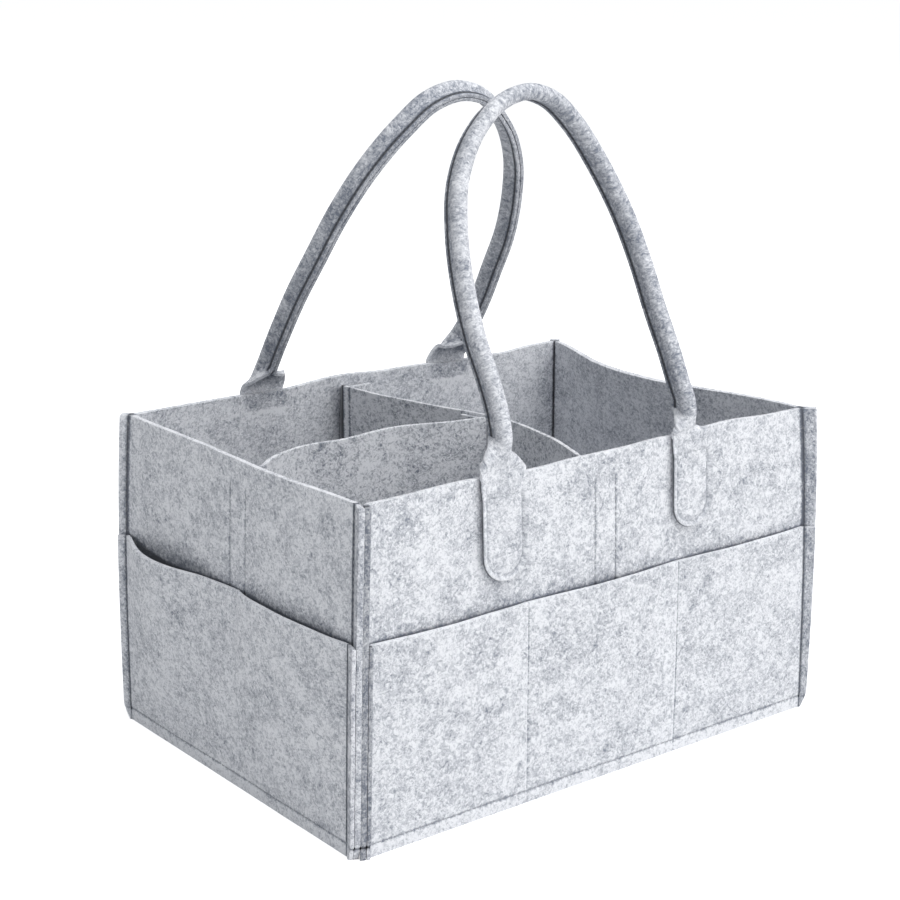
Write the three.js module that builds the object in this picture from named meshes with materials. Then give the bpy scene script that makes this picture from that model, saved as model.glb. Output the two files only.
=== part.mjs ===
import * as THREE from 'three';

// An open felt caddy for diapers: a sewn basket with a pocket panel on each wall, two carrying
// handles folded from felt strips, and a T-shaped divider insert held by hook-and-loop tape.
// Millimetres, +Z up, origin at the middle of the footprint on the surface it stands on.
// The front is towards -Y. Lengths of walls are taken between the middle layers of the felt.

// Felt, tape and the gap kept between pieces that touch
const wallFelt = 3;
const pocketFelt = 2;
const dividerFelt = 2.2;
const handleFelt = 2;
const tapeThickness = 1.2;
const tapeWidth = 16;
const clearance = 0.3;

// Basket
const floorLength = 316.8;
const floorDepth = 221.4;
const wallHeight = 180;
const mouthInset = 3.4;
const mouthInsetPower = 3;
const rightWallBow = 18;
const rightWallBowPower = 2;
const rightWallBowSkewShare = 1.25;
const rightWallBowFlatShare = 1.3;
const rimSagShare = 0.11;

// Seam fins at the corners, where the wall ends turn out and are sewn together
const finDepthAtRim = 5.5;
const finDepthAtFloor = 4.6;
const finRoundHeight = 12;
const finEndShare = 0.25;
const finTurn = Math.PI / 4;
const tightestBend = 1.5;

// Floor panel with its edge turned down inside the walls
const floorRise = 10;
const floorCornerRadius = 7;

// Pockets
const mouthToTab = 15;
const pocketSeamSpacing = 106;
const frontPocketDepth = 5.2;
const leftPocketDepth = 9.5;
const leftPocketSlackDepth = 2.5;
const leftPocketFullEndShare = 0.05;
const rightPocketDepth = 10;
const fullnessPower = 1.5;
const mouthSagShare = 0.2;

// Handles
const tabWidth = 28.5;
const tabLength = 54;
const frontTabSpacing = 133;
const frontTabsMiddle = -4.1;
const backTabSpacing = 135.2;
const backTabsMiddle = -0.1;
const gripBore = 4.6;
const gripSeamDepth = 4.6;
const gripSeamBend = 3;
const neckLength = 14;
const frontLoopHeight = 181;
const backLoopHeight = 178;
// How far a loop's top leans in, as a share of its pivot's distance from the middle of the basket
const frontLoopReachShare = 0.511;
const backLoopReachShare = 0.822;
// Course of a loop from its end to its top: shares of its height, of half its spacing and of its reach
const frontLoopShares = [
  [0, 1, 0], [0.02, 1, 0], [0.055, 0.985, -0.034], [0.1, 0.957, -0.056], [0.17, 0.933, 0.02],
  [0.26, 0.929, 0.155], [0.37, 0.929, 0.355], [0.5, 0.911, 0.545], [0.64, 0.847, 0.735],
  [0.78, 0.713, 0.912], [0.9, 0.501, 0.995], [0.975, 0.26, 1.008], [1, 0, 1],
];
const backLoopShares = [
  [0, 1, 0], [0.02, 1, 0], [0.055, 1.02, 0.004], [0.1, 1.045, 0.055], [0.17, 1.062, 0.15],
  [0.26, 1.06, 0.265], [0.37, 1.037, 0.396], [0.5, 0.991, 0.562], [0.64, 0.902, 0.711],
  [0.78, 0.747, 0.852], [0.9, 0.513, 0.953], [0.975, 0.27, 0.992], [1, 0, 1],
];

// Divider insert
const dividerDrop = 2.5;
const flangeWidth = 21;
const flangeBend = 1.6;
const crossBackX = -17.3;
const crossFrontX = -8.8;
const crossBow = 21.5;
const crossBowSkewShare = 1.45;
const longWallY = -16;
const teeY = -9;
const teeFlangeWidth = 20;
// Places along the long divider's run, and how far it stands off its chord there, both as shares
const longRunShares = [[0.137, 0.092], [0.28, 0.128], [0.41, 0.123], [0.67, 0.128], [0.875, 0.032]];

// Share of a wall's half width over which the slope of its plan is measured
const stepShare = 0.002;

// Number of steps that round forms are drawn with
const bendSteps = 3;
const wallColumns = 8;
const bowedWallColumns = 16;
const wallRows = 5;
const bowedWallRows = 7;
const pocketRows = 5;
const pocketColumns = 8;
const sidePocketColumns = 12;
const tabSteps = 10;
const tubeSteps = 4;
const seamBendSteps = 2;
const neckSteps = 6;
const loopSteps = 25;
const cornerSteps = 4;
const dividerSteps = 16;

const feltMaterial = { color: '#b4b8c0', roughness: 0.95, metalness: 0 };
const handleMaterial = { color: '#a5a9b0', roughness: 0.95, metalness: 0 };
const dividerMaterial = { color: '#8f939b', roughness: 0.95, metalness: 0 };
const tapeMaterial = { color: '#7f838a', roughness: 0.85, metalness: 0 };

// Sizes that follow from the ones above
const bendRadius = wallFelt / 2 + clearance + pocketFelt + tightestBend;
const pocketOffset = wallFelt / 2 + clearance + pocketFelt / 2;
const tabOffset = wallFelt / 2 + clearance + handleFelt / 2;
const handlePivotOffset = tabOffset + handleFelt / 2;
const pocketHeight = wallHeight - tabLength - mouthToTab;
const floorUnderside = floorRise - wallFelt;
const loopTapeOffset = -(wallFelt / 2 + clearance + tapeThickness / 2);
const hookTapeOffset = loopTapeOffset - tapeThickness - clearance;
const flangeOffset = hookTapeOffset - tapeThickness / 2 - clearance - dividerFelt / 2;
const pivotStandOff = floorDepth / 2 - mouthInset + handlePivotOffset;
const dividerBottom = floorRise + clearance;
const dividerTop = wallHeight - dividerDrop;

function mouthInsetAt(height) {
  return mouthInset * (height / wallHeight) ** mouthInsetPower;
}

function halfLengthAt(height) {
  return floorLength / 2 - mouthInsetAt(height);
}

function halfDepthAt(height) {
  return floorDepth / 2 - mouthInsetAt(height);
}

// Share of the full inward bow of the right wall, from its front end (-1) to its back end (1)
function rightWallBowAt(share, height) {
  const along = ((share + 1) / 2) ** rightWallBowSkewShare;
  const across = Math.max(Math.sin(Math.PI * along), 0) ** rightWallBowFlatShare;
  return -rightWallBow * across * (height / wallHeight) ** rightWallBowPower;
}

function noBow() {
  return 0;
}

// Each side is drawn as the front is, then turned about the middle of the basket
const frontSide = { turn: 0, halfWidthAt: halfLengthAt, standOffAt: halfDepthAt, bowAt: noBow };
const backSide = { turn: Math.PI, halfWidthAt: halfLengthAt, standOffAt: halfDepthAt, bowAt: noBow };
const leftSide = { turn: -Math.PI / 2, halfWidthAt: halfDepthAt, standOffAt: halfLengthAt, bowAt: noBow };
const rightSide = {
  turn: Math.PI / 2,
  halfWidthAt: halfDepthAt,
  standOffAt: halfLengthAt,
  bowAt: rightWallBowAt,
};

function spread(from, to, steps) {
  return Array.from({ length: steps + 1 }, (_, step) => THREE.MathUtils.lerp(from, to, step / steps));
}

// A closed sheet between two grids of points, which share their rows and columns
function closedSheet(front, back) {
  const rows = front.length;
  const columns = front[0].length;
  const corners = [...front.flat(), ...back.flat()];
  const index = [];
  const outside = (row, column) => row * columns + column;
  const inside = (row, column) => rows * columns + row * columns + column;
  const addQuad = (a, b, c, d) => index.push(a, b, c, a, c, d);
  for (let row = 0; row < rows - 1; row += 1) {
    for (let column = 0; column < columns - 1; column += 1) {
      const across = column + 1;
      addQuad(outside(row, column), outside(row, across), outside(row + 1, across), outside(row + 1, column));
      addQuad(inside(row, column), inside(row + 1, column), inside(row + 1, across), inside(row, across));
    }
    const last = columns - 1;
    addQuad(outside(row, 0), outside(row + 1, 0), inside(row + 1, 0), inside(row, 0));
    addQuad(outside(row, last), inside(row, last), inside(row + 1, last), outside(row + 1, last));
  }
  for (let column = 0; column < columns - 1; column += 1) {
    const across = column + 1;
    const top = rows - 1;
    addQuad(outside(0, column), inside(0, column), inside(0, across), outside(0, across));
    addQuad(outside(top, column), outside(top, across), inside(top, across), inside(top, column));
  }
  const geometry = new THREE.BufferGeometry().setFromPoints(corners);
  geometry.setIndex(index);
  geometry.computeVertexNormals();
  return geometry;
}

function namedMesh(name, geometry, finish) {
  const mesh = new THREE.Mesh(geometry, new THREE.MeshStandardMaterial(finish));
  mesh.name = name;
  return mesh;
}

function finDepthAt(height) {
  const depth = THREE.MathUtils.lerp(finDepthAtFloor, finDepthAtRim, height / wallHeight);
  const rounded = Math.sin(Math.PI / 2 * Math.min(height / finRoundHeight, 1));
  return depth * THREE.MathUtils.lerp(finEndShare, 1, rounded);
}

// Half the flat width of a wall, between the bends that turn its ends out
function flatHalfAt(side, height) {
  const bendLine = side.halfWidthAt(height) - Math.SQRT2 * (wallFelt + clearance) / 2;
  return bendLine - bendRadius * Math.tan(finTurn / 2);
}

// Bend and fin at the right-hand end of a wall, in plan, as the middle layer of the felt
function wallEnd(side, height) {
  const start = flatHalfAt(side, height);
  const standOff = side.standOffAt(height);
  const end = spread(0, finTurn, bendSteps).map((angle) => ({
    x: start + bendRadius * Math.sin(angle),
    out: standOff + bendRadius * (1 - Math.cos(angle)),
    normalX: -Math.sin(angle),
    normalOut: Math.cos(angle),
    sag: 0,
  }));
  const bendEnd = end[end.length - 1];
  const reach = finDepthAt(height) + (wallFelt + clearance) / 2 - bendRadius * Math.tan(finTurn / 2);
  end.push({
    ...bendEnd,
    x: bendEnd.x + reach * Math.cos(finTurn),
    out: bendEnd.out + reach * Math.sin(finTurn),
  });
  return end;
}

// Plan of a wall, or of a pocket panel that stands off it by its fullness, from fin to fin
function wallPlan(side, height, columnShares, fullnessAt) {
  const half = flatHalfAt(side, height);
  const standOff = side.standOffAt(height);
  const riseAt = (share) => side.bowAt(share, height) + fullnessAt(share, height);
  const middle = columnShares.map((share) => {
    const slope = (riseAt(share + stepShare) - riseAt(share - stepShare)) / (2 * stepShare * half);
    const length = Math.hypot(slope, 1);
    return {
      x: share * half,
      out: standOff + riseAt(share),
      normalX: -slope / length,
      normalOut: 1 / length,
      sag: rimSagShare * Math.abs(side.bowAt(share, height)) + mouthSagShare * fullnessAt(share, height),
    };
  });
  const rightEnd = wallEnd(side, height);
  const leftEnd = rightEnd.map((point) => ({ ...point, x: -point.x, normalX: -point.normalX })).reverse();
  return [...leftEnd, ...middle, ...rightEnd];
}

function planPoint(point, offset, height) {
  const x = point.x + point.normalX * offset;
  const out = point.out + point.normalOut * offset;
  return new THREE.Vector3(x, -out, height - point.sag);
}

// A panel of felt along a wall, its middle layer at an offset outward of the wall's own
function wallPanel(side, heights, columnShares, offset, thickness, fullnessAt) {
  const plans = heights.map((height) => wallPlan(side, height, columnShares, fullnessAt));
  const layer = (shift) =>
    plans.map((plan, row) => plan.map((point) => planPoint(point, offset + shift, heights[row])));
  return closedSheet(layer(thickness / 2), layer(-thickness / 2));
}

function noFullness() {
  return 0;
}

// Heights of the rows of a panel: close together in the rounded foot of the fins, then even
function panelHeights(top, steps) {
  const foot = spread(0, finRoundHeight, bendSteps);
  return [...foot.slice(0, -1), ...spread(finRoundHeight, top, steps)];
}

function wallMesh(name, side, columns, rows) {
  const shares = spread(-1, 1, columns).slice(1, -1);
  const geometry = wallPanel(side, panelHeights(wallHeight, rows), shares, 0, wallFelt, noFullness);
  return namedMesh(name, geometry, feltMaterial);
}

// Fullness of a row of pockets, each of them { from, to, depth } along the wall
function pocketFullness(pockets) {
  return (share, height) => {
    const pocket = pockets.find((candidate) => share >= candidate.from && share <= candidate.to);
    if (!pocket) return 0;
    const swell = Math.sin(Math.PI * (share - pocket.from) / (pocket.to - pocket.from)) ** 2;
    return pocket.depth * swell * (height / pocketHeight) ** fullnessPower;
  };
}

function pocketMesh(name, side, pockets, columns) {
  const shares = pockets.flatMap((pocket) => spread(pocket.from, pocket.to, columns).slice(1));
  const heights = panelHeights(pocketHeight, pocketRows);
  const fullnessAt = pocketFullness(pockets);
  const geometry = wallPanel(side, heights, shares.slice(0, -1), pocketOffset, pocketFelt, fullnessAt);
  return namedMesh(name, geometry, feltMaterial);
}

function threePockets(side, depth) {
  const seamShare = pocketSeamSpacing / 2 / flatHalfAt(side, pocketHeight);
  return [
    { from: -1, to: -seamShare, depth },
    { from: -seamShare, to: seamShare, depth },
    { from: seamShare, to: 1, depth },
  ];
}

// The turned-down floor panel: rings from the middle of its underside, round its lower edge and
// over its bend, to the middle of its top
function floorRing(inset, height) {
  const halfX = halfLengthAt(floorRise) - wallFelt / 2 - clearance - inset;
  const halfY = halfDepthAt(floorRise) - wallFelt / 2 - clearance - inset;
  const radius = Math.max(floorCornerRadius - inset, tightestBend);
  const centres = [
    [halfX - radius, halfY - radius, 0],
    [radius - halfX, halfY - radius, Math.PI / 2],
    [radius - halfX, radius - halfY, Math.PI],
    [halfX - radius, radius - halfY, 3 * Math.PI / 2],
  ];
  return centres.flatMap(([x, y, start]) =>
    spread(start, start + Math.PI / 2, cornerSteps).map(
      (angle) => new THREE.Vector3(x + radius * Math.cos(angle), y + radius * Math.sin(angle), height),
    ),
  );
}

function floorPanelMesh() {
  const outerBend = tightestBend + wallFelt;
  const bendAngles = spread(0, Math.PI / 2, bendSteps);
  const rings = [];
  for (const angle of bendAngles) {
    const inset = wallFelt + tightestBend * (1 - Math.sin(angle));
    rings.push(floorRing(inset, floorUnderside - tightestBend * (1 - Math.cos(angle))));
  }
  rings.push(floorRing(wallFelt, 0), floorRing(0, 0));
  for (const angle of bendAngles) {
    const inset = outerBend * (1 - Math.cos(angle));
    rings.push(floorRing(inset, floorRise - outerBend * (1 - Math.sin(angle))));
  }
  const around = rings[0].length;
  const corners = [...rings.flat()];
  const undersideMiddle = corners.push(new THREE.Vector3(0, 0, floorUnderside)) - 1;
  const topMiddle = corners.push(new THREE.Vector3(0, 0, floorRise)) - 1;
  const index = [];
  const topRing = (rings.length - 1) * around;
  for (let place = 0; place < around; place += 1) {
    const next = (place + 1) % around;
    index.push(undersideMiddle, next, place, topMiddle, topRing + place, topRing + next);
    for (let ring = 0; ring < rings.length - 1; ring += 1) {
      const low = ring * around;
      const high = low + around;
      index.push(low + place, low + next, high + next, low + place, high + next, high + place);
    }
  }
  const geometry = new THREE.BufferGeometry().setFromPoints(corners);
  geometry.setIndex(index);
  geometry.computeVertexNormals();
  return namedMesh('base_panel', geometry, feltMaterial);
}

// The flat end of a handle strip, sewn to the outside of a wall, with a half-round lower end
function tabMesh(name, side, middleX) {
  const radius = tabWidth / 2;
  const roundCentre = wallHeight - tabLength + radius;
  const columns = spread(-Math.PI / 2, Math.PI / 2, tabSteps).map((angle) => ({
    x: middleX + radius * Math.sin(angle),
    low: roundCentre - radius * Math.cos(angle),
  }));
  const layer = (shift) =>
    spread(0, 1, bendSteps + 1).map((share) =>
      columns.map(({ x, low }) => {
        const height = THREE.MathUtils.lerp(low, wallHeight, share);
        return new THREE.Vector3(x, -(side.standOffAt(height) + tabOffset + shift), height);
      }),
    );
  return namedMesh(name, closedSheet(layer(handleFelt / 2), layer(-handleFelt / 2)), handleMaterial);
}

function tapeMesh(name, middleX, standOffAt) {
  const top = dividerTop - dividerFelt;
  const bottom = dividerBottom + dividerFelt;
  const layer = (shift) =>
    spread(bottom, top, wallColumns).map((height) =>
      [middleX - tapeWidth / 2, middleX + tapeWidth / 2].map(
        (x) => new THREE.Vector3(x, -(standOffAt(height) + shift), height),
      ),
    );
  return namedMesh(name, closedSheet(layer(tapeThickness / 2), layer(-tapeThickness / 2)), tapeMaterial);
}

// Loop tape sewn to the inside of a wall
function loopTapeMesh(name, side, middleX) {
  return tapeMesh(name, middleX, (height) => side.standOffAt(height) + loopTapeOffset);
}

// Hook tape sewn to the folded end of a divider, which stands straight and meets the wall at its top
function hookTapeMesh(name, side, middleX) {
  return tapeMesh(name, middleX, () => side.standOffAt(dividerTop) + hookTapeOffset);
}

// Half of the grip's section from the middle of the strip to its raw edge, as lengths of strip
// and the angle that each turns through when the strip is folded to a tube with a sewn seam
function sectionPieces() {
  const tubeRadius = (gripBore + handleFelt) / 2;
  const seamRadius = gripSeamBend + handleFelt / 2;
  const seamHalf = (handleFelt + clearance) / 2;
  const tubeTurn = Math.PI - Math.asin((seamHalf + seamRadius) / (tubeRadius + seamRadius));
  const seamTurn = tubeTurn - Math.PI / 2;
  const tubePiece = { length: tubeRadius * tubeTurn / tubeSteps, turn: tubeTurn / tubeSteps };
  const seamPiece = { length: seamRadius * seamTurn / seamBendSteps, turn: -seamTurn / seamBendSteps };
  return [
    ...Array(tubeSteps).fill(tubePiece),
    ...Array(seamBendSteps).fill(seamPiece),
    { length: gripSeamDepth, turn: 0 },
  ];
}

// The grip's section when it is folded by a share of the full fold
function gripSection(pieces, fold) {
  const foldedWidth = 2 * pieces.reduce((sum, piece) => sum + piece.length, 0);
  const widthShare = THREE.MathUtils.lerp(tabWidth / foldedWidth, 1, fold);
  const half = [{ across: 0, inward: 0, angle: 0 }];
  for (const piece of pieces) {
    const last = half[half.length - 1];
    const turn = fold * piece.turn;
    const chordShare = turn === 0 ? 1 : Math.sin(turn / 2) / (turn / 2);
    const chord = piece.length * widthShare * chordShare;
    half.push({
      across: last.across + chord * Math.cos(last.angle + turn / 2),
      inward: last.inward + chord * Math.sin(last.angle + turn / 2),
      angle: last.angle + turn,
    });
  }
  const other = half.slice(1).map(({ across, inward, angle }) => ({ across: -across, inward, angle: -angle }));
  return [...other.reverse(), ...half];
}

// Middle line of a handle loop: X along the wall, Y inward of its pivot's middle layer, Z above the rim
function loopPath(loop) {
  const rise = loop.height - clearance;
  const leg = loop.shares.map(([up, across, inward]) => ({
    across: loop.spacing / 2 * across,
    place: new THREE.Vector3(loop.middle, loop.reach * inward, clearance + rise * up),
  }));
  const sideways = new THREE.Vector3(1, 0, 0);
  const left = leg.map(({ across, place }) => place.clone().addScaledVector(sideways, -across));
  const right = leg.map(({ across, place }) => place.clone().addScaledVector(sideways, across));
  return new THREE.CatmullRomCurve3([...left, ...right.slice(0, -1).reverse()]);
}

function gripMesh(name, loop) {
  const path = loopPath(loop);
  const length = path.getLength();
  const neck = spread(0, neckLength, neckSteps).slice(0, -1);
  const free = spread(neckLength, length - neckLength, loopSteps);
  const stations = [...neck, ...free, ...neck.map((distance) => length - distance).reverse()];
  const pieces = sectionPieces();
  const planeInward = new THREE.Vector3(0, loop.height, -loop.reach).normalize();
  const rows = stations.map((distance) => {
    const centre = path.getPointAt(distance / length);
    const tangent = path.getTangentAt(distance / length);
    const inward = planeInward.clone().projectOnPlane(tangent).normalize();
    const sideways = inward.clone().cross(tangent);
    const fold = THREE.MathUtils.smoothstep(Math.min(distance, length - distance), 0, neckLength);
    return { centre, inward, sideways, section: gripSection(pieces, fold) };
  });
  const layer = (shift) =>
    rows.map(({ centre, inward, sideways, section }) =>
      section.map((point) =>
        centre
          .clone()
          .addScaledVector(sideways, point.across - shift * Math.sin(point.angle))
          .addScaledVector(inward, point.inward + shift * Math.cos(point.angle)),
      ),
    );
  const mesh = namedMesh(name, closedSheet(layer(-handleFelt / 2), layer(handleFelt / 2)), handleMaterial);
  mesh.position.set(0, handleFelt / 2 - pivotStandOff, wallHeight);
  return mesh;
}

// Corner of a plan line rounded to a radius
function roundedCorner(before, corner, after, radius) {
  const incoming = corner.clone().sub(before).normalize();
  const outgoing = after.clone().sub(corner).normalize();
  const turn = Math.acos(THREE.MathUtils.clamp(incoming.dot(outgoing), -1, 1));
  const tangent = radius * Math.tan(turn / 2);
  const start = corner.clone().addScaledVector(incoming, -tangent);
  const side = Math.sign(incoming.cross(outgoing));
  const normal = new THREE.Vector2(-incoming.y, incoming.x).multiplyScalar(side);
  return spread(0, turn, cornerSteps).map((angle) =>
    start
      .clone()
      .addScaledVector(incoming, radius * Math.sin(angle))
      .addScaledVector(normal, radius * (1 - Math.cos(angle))),
  );
}

// A plan line moved sideways, to the left of its own direction
function offsetLine(line, offset) {
  return line.map((point, place) => {
    const before = line[Math.max(place - 1, 0)];
    const after = line[Math.min(place + 1, line.length - 1)];
    const along = after.clone().sub(before).normalize();
    return new THREE.Vector2(point.x - along.y * offset, point.y + along.x * offset);
  });
}

// A standing ribbon of felt with one plan line at every height, so that it lifts straight out
function dividerMesh(name, line) {
  const layer = (shift) =>
    [dividerBottom, dividerTop].map((height) =>
      offsetLine(line, shift).map((point) => new THREE.Vector3(point.x, point.y, height)),
    );
  return namedMesh(name, closedSheet(layer(-dividerFelt / 2), layer(dividerFelt / 2)), dividerMaterial);
}

// Run of the cross divider between its folded ends, from the back wall to the front wall
function crossRun() {
  const endY = halfDepthAt(dividerTop) + flangeOffset;
  return spread(0, 1, dividerSteps).map((share) => {
    const bow = crossBow * Math.sin(Math.PI * share ** crossBowSkewShare);
    return new THREE.Vector2(
      THREE.MathUtils.lerp(crossBackX, crossFrontX, share) + bow,
      THREE.MathUtils.lerp(endY, -endY, share),
    );
  });
}

function crossLine() {
  const run = crossRun();
  const radius = flangeBend + dividerFelt / 2;
  const [first, second] = run;
  const last = run[run.length - 1];
  const flange = new THREE.Vector2(flangeWidth, 0);
  const backEnd = first.clone().add(flange);
  const frontEnd = last.clone().add(flange);
  return [
    backEnd,
    ...roundedCorner(backEnd, first, second, radius),
    ...run.slice(1, -1),
    ...roundedCorner(run[run.length - 2], last, frontEnd, radius),
    frontEnd,
  ];
}

// The long divider: folded against the left wall, a slack run, and folded along the cross divider
function longLine() {
  const radius = flangeBend + dividerFelt / 2;
  const wallX = -(halfLengthAt(dividerTop) + flangeOffset);
  const beside = new THREE.SplineCurve(offsetLine(crossRun(), -(dividerFelt + clearance)));
  const sewn = beside.getPoints(dividerSteps * cornerSteps).filter((point) => point.y > teeY);
  const tee = sewn[sewn.length - 1];
  const sewnFlange = sewn.filter((point) => point.y < tee.y + teeFlangeWidth).reverse();
  const corner = new THREE.Vector2(wallX, longWallY);
  const chord = tee.clone().sub(corner);
  const sideways = new THREE.Vector2(-chord.y, chord.x);
  const bends = longRunShares.map(([along, aside]) =>
    corner.clone().addScaledVector(chord, along).addScaledVector(sideways, aside),
  );
  const run = new THREE.SplineCurve([corner, ...bends, tee]).getPoints(2 * dividerSteps);
  const wallEndPoint = new THREE.Vector2(wallX, longWallY + flangeWidth);
  const flangeMiddle = sewnFlange[Math.floor(sewnFlange.length / 2)];
  return [
    wallEndPoint,
    ...roundedCorner(wallEndPoint, corner, run[2], radius),
    ...run.slice(2, -2),
    ...roundedCorner(run[run.length - 3], tee, flangeMiddle, radius),
    ...sewnFlange.filter((point) => point.y > flangeMiddle.y),
  ];
}

function sideGroup(side, ...meshes) {
  const group = new THREE.Group();
  group.rotation.z = side.turn;
  group.add(...meshes);
  return group;
}

// Left and right are the caddy's own, seen from the front, so they swap on the back
function handleMeshes(name, side, loop, seenFromBehind) {
  const ends = [loop.middle - loop.spacing / 2, loop.middle + loop.spacing / 2];
  const [leftEnd, rightEnd] = seenFromBehind ? [ends[1], ends[0]] : ends;
  return [
    tabMesh(`${name}_handle_left_tab`, side, leftEnd),
    tabMesh(`${name}_handle_right_tab`, side, rightEnd),
    gripMesh(`${name}_handle_grip`, loop),
  ];
}

const frontLoop = {
  height: frontLoopHeight,
  reach: frontLoopReachShare * pivotStandOff,
  spacing: frontTabSpacing,
  middle: frontTabsMiddle,
  shares: frontLoopShares,
};
const backLoop = {
  height: backLoopHeight,
  reach: backLoopReachShare * pivotStandOff,
  spacing: backTabSpacing,
  middle: backTabsMiddle,
  shares: backLoopShares,
};
const frontTapeX = crossFrontX + flangeWidth / 2;
const backTapeX = -(crossBackX + flangeWidth / 2);
const leftTapeX = -(longWallY + flangeWidth / 2);
const leftPockets = [
  { from: -1, to: leftPocketFullEndShare, depth: leftPocketDepth },
  { from: leftPocketFullEndShare, to: 1, depth: leftPocketSlackDepth },
];

const caddy = new THREE.Group();
caddy.add(
  floorPanelMesh(),
  sideGroup(
    frontSide,
    wallMesh('front_wall', frontSide, wallColumns, wallRows),
    pocketMesh('front_pocket', frontSide, threePockets(frontSide, frontPocketDepth), pocketColumns),
    ...handleMeshes('front', frontSide, frontLoop, false),
    loopTapeMesh('front_loop_strip', frontSide, frontTapeX),
    hookTapeMesh('cross_divider_front_hook', frontSide, frontTapeX),
  ),
  sideGroup(
    backSide,
    wallMesh('back_wall', backSide, wallColumns, wallRows),
    pocketMesh('back_pocket', backSide, threePockets(backSide, frontPocketDepth), pocketColumns),
    ...handleMeshes('back', backSide, backLoop, true),
    loopTapeMesh('back_loop_strip', backSide, backTapeX),
    hookTapeMesh('cross_divider_back_hook', backSide, backTapeX),
  ),
  sideGroup(
    leftSide,
    wallMesh('left_wall', leftSide, wallColumns, wallRows),
    pocketMesh('left_pocket', leftSide, leftPockets, sidePocketColumns),
    loopTapeMesh('left_loop_strip', leftSide, leftTapeX),
    hookTapeMesh('long_divider_wall_hook', leftSide, leftTapeX),
  ),
  sideGroup(
    rightSide,
    wallMesh('right_wall', rightSide, bowedWallColumns, bowedWallRows),
    pocketMesh('right_pocket', rightSide, [{ from: -1, to: 1, depth: rightPocketDepth }], bowedWallColumns),
  ),
  dividerMesh('cross_divider', crossLine()),
  dividerMesh('long_divider', longLine()),
);

export default caddy;
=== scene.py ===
"""An open felt caddy for diapers, sewn from heathered grey felt, with folded felt handles, pockets
on every side and a T-shaped divider insert. Shapes are worked out in millimetres and put in the
scene in metres."""

import math
from types import SimpleNamespace

import bpy
import numpy as np
from bpy.props import FloatProperty, FloatVectorProperty, PointerProperty
from bpy.types import Operator, Panel, PropertyGroup
from mathutils import Matrix, Vector


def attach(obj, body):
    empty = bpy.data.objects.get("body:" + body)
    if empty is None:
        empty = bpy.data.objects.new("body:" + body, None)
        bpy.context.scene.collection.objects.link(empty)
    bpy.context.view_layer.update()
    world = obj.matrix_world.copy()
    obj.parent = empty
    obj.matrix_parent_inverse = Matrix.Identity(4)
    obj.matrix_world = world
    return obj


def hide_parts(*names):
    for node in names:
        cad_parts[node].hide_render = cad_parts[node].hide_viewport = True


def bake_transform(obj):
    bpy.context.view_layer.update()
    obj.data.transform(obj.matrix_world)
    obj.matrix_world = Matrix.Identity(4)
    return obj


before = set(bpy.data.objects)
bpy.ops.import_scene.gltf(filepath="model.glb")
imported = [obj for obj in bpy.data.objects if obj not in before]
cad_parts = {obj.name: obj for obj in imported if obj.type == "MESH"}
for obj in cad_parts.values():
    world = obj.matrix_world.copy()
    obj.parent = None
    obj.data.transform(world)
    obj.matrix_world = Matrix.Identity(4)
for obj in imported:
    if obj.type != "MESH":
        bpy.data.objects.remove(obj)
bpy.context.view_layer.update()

bl_info = {
    "name": "Felt Diaper Caddy",
    "version": (1, 0, 0),
    "blender": (4, 5, 0),
    "location": "View3D > Sidebar > Caddy",
    "description": "Sews an open felt caddy with folded handles, pockets and a lift-out divider",
    "category": "Add Mesh",
}

MM = 0.001
SIDES = ("front", "back", "left", "right")


def length(name, description, default):
    """A size in metres that shows in the scene's own unit."""
    return FloatProperty(
        name=name, description=description, default=default, min=0.0, precision=4, subtype="DISTANCE", unit="LENGTH"
    )


def colour(name, description, default):
    return FloatVectorProperty(
        name=name, description=description, default=default, size=3, min=0.0, max=1.0, subtype="COLOR"
    )


class CaddyBasketSizes(PropertyGroup):
    """Sizes of the sewn basket."""

    floor_length: length("Floor length", "Left to right between the middle layers of the walls", 0.3168)
    floor_depth: length("Floor depth", "Front to back between the middle layers of the walls", 0.2214)
    wall_height: length("Wall height", "From the surface it stands on to the rim", 0.18)
    wall_felt: length("Wall felt", "Thickness of the wall felt", 0.003)
    pocket_felt: length("Pocket felt", "Thickness of the pocket felt", 0.002)
    pocket_height: length("Pocket height", "Height of the pockets' raw top edge", 0.111)
    pocket_seam_spacing: length("Pocket seams", "Distance between the seams of the middle pocket", 0.106)
    mouth_inset: length("Rim inset", "How far the walls lean in at the rim", 0.0034)
    right_wall_bow: length("Right wall bow", "How far the right wall bows in at its rim", 0.018)
    fin_depth: length("Seam fin", "Depth of the corner seam fins at the rim", 0.0055)
    floor_rise: length("Floor rise", "Height of the floor panel's top", 0.01)
    tape_width: length("Tape width", "Width of the hook and loop tapes", 0.016)
    tape_thickness: length("Tape thickness", "Thickness of the hook and loop tapes", 0.0012)


class CaddyHandleSizes(PropertyGroup):
    """Sizes of the two handles, each one strip of felt folded lengthwise."""

    felt: length("Handle felt", "Thickness of the handle felt", 0.002)
    tab_width: length("Tab width", "Width of the flat sewn ends", 0.0285)
    tab_length: length("Tab length", "Height of the flat sewn ends", 0.054)
    front_spacing: length("Front tab spacing", "Distance between the middles of the front handle's ends", 0.133)
    back_spacing: length("Back tab spacing", "Distance between the middles of the back handle's ends", 0.1352)
    bore: length("Bore", "Inner width of the folded tube", 0.0046)
    seam_depth: length("Seam depth", "Depth of the two edges sewn together", 0.0046)
    front_height: length("Front height", "Height of the front loop above the rim", 0.181)
    back_height: length("Back height", "Height of the back loop above the rim", 0.178)
    front_reach: length("Front reach", "How far the front loop's top leans in from its end", 0.0568)
    back_reach: length("Back reach", "How far the back loop's top leans in from its end", 0.0913)


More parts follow.
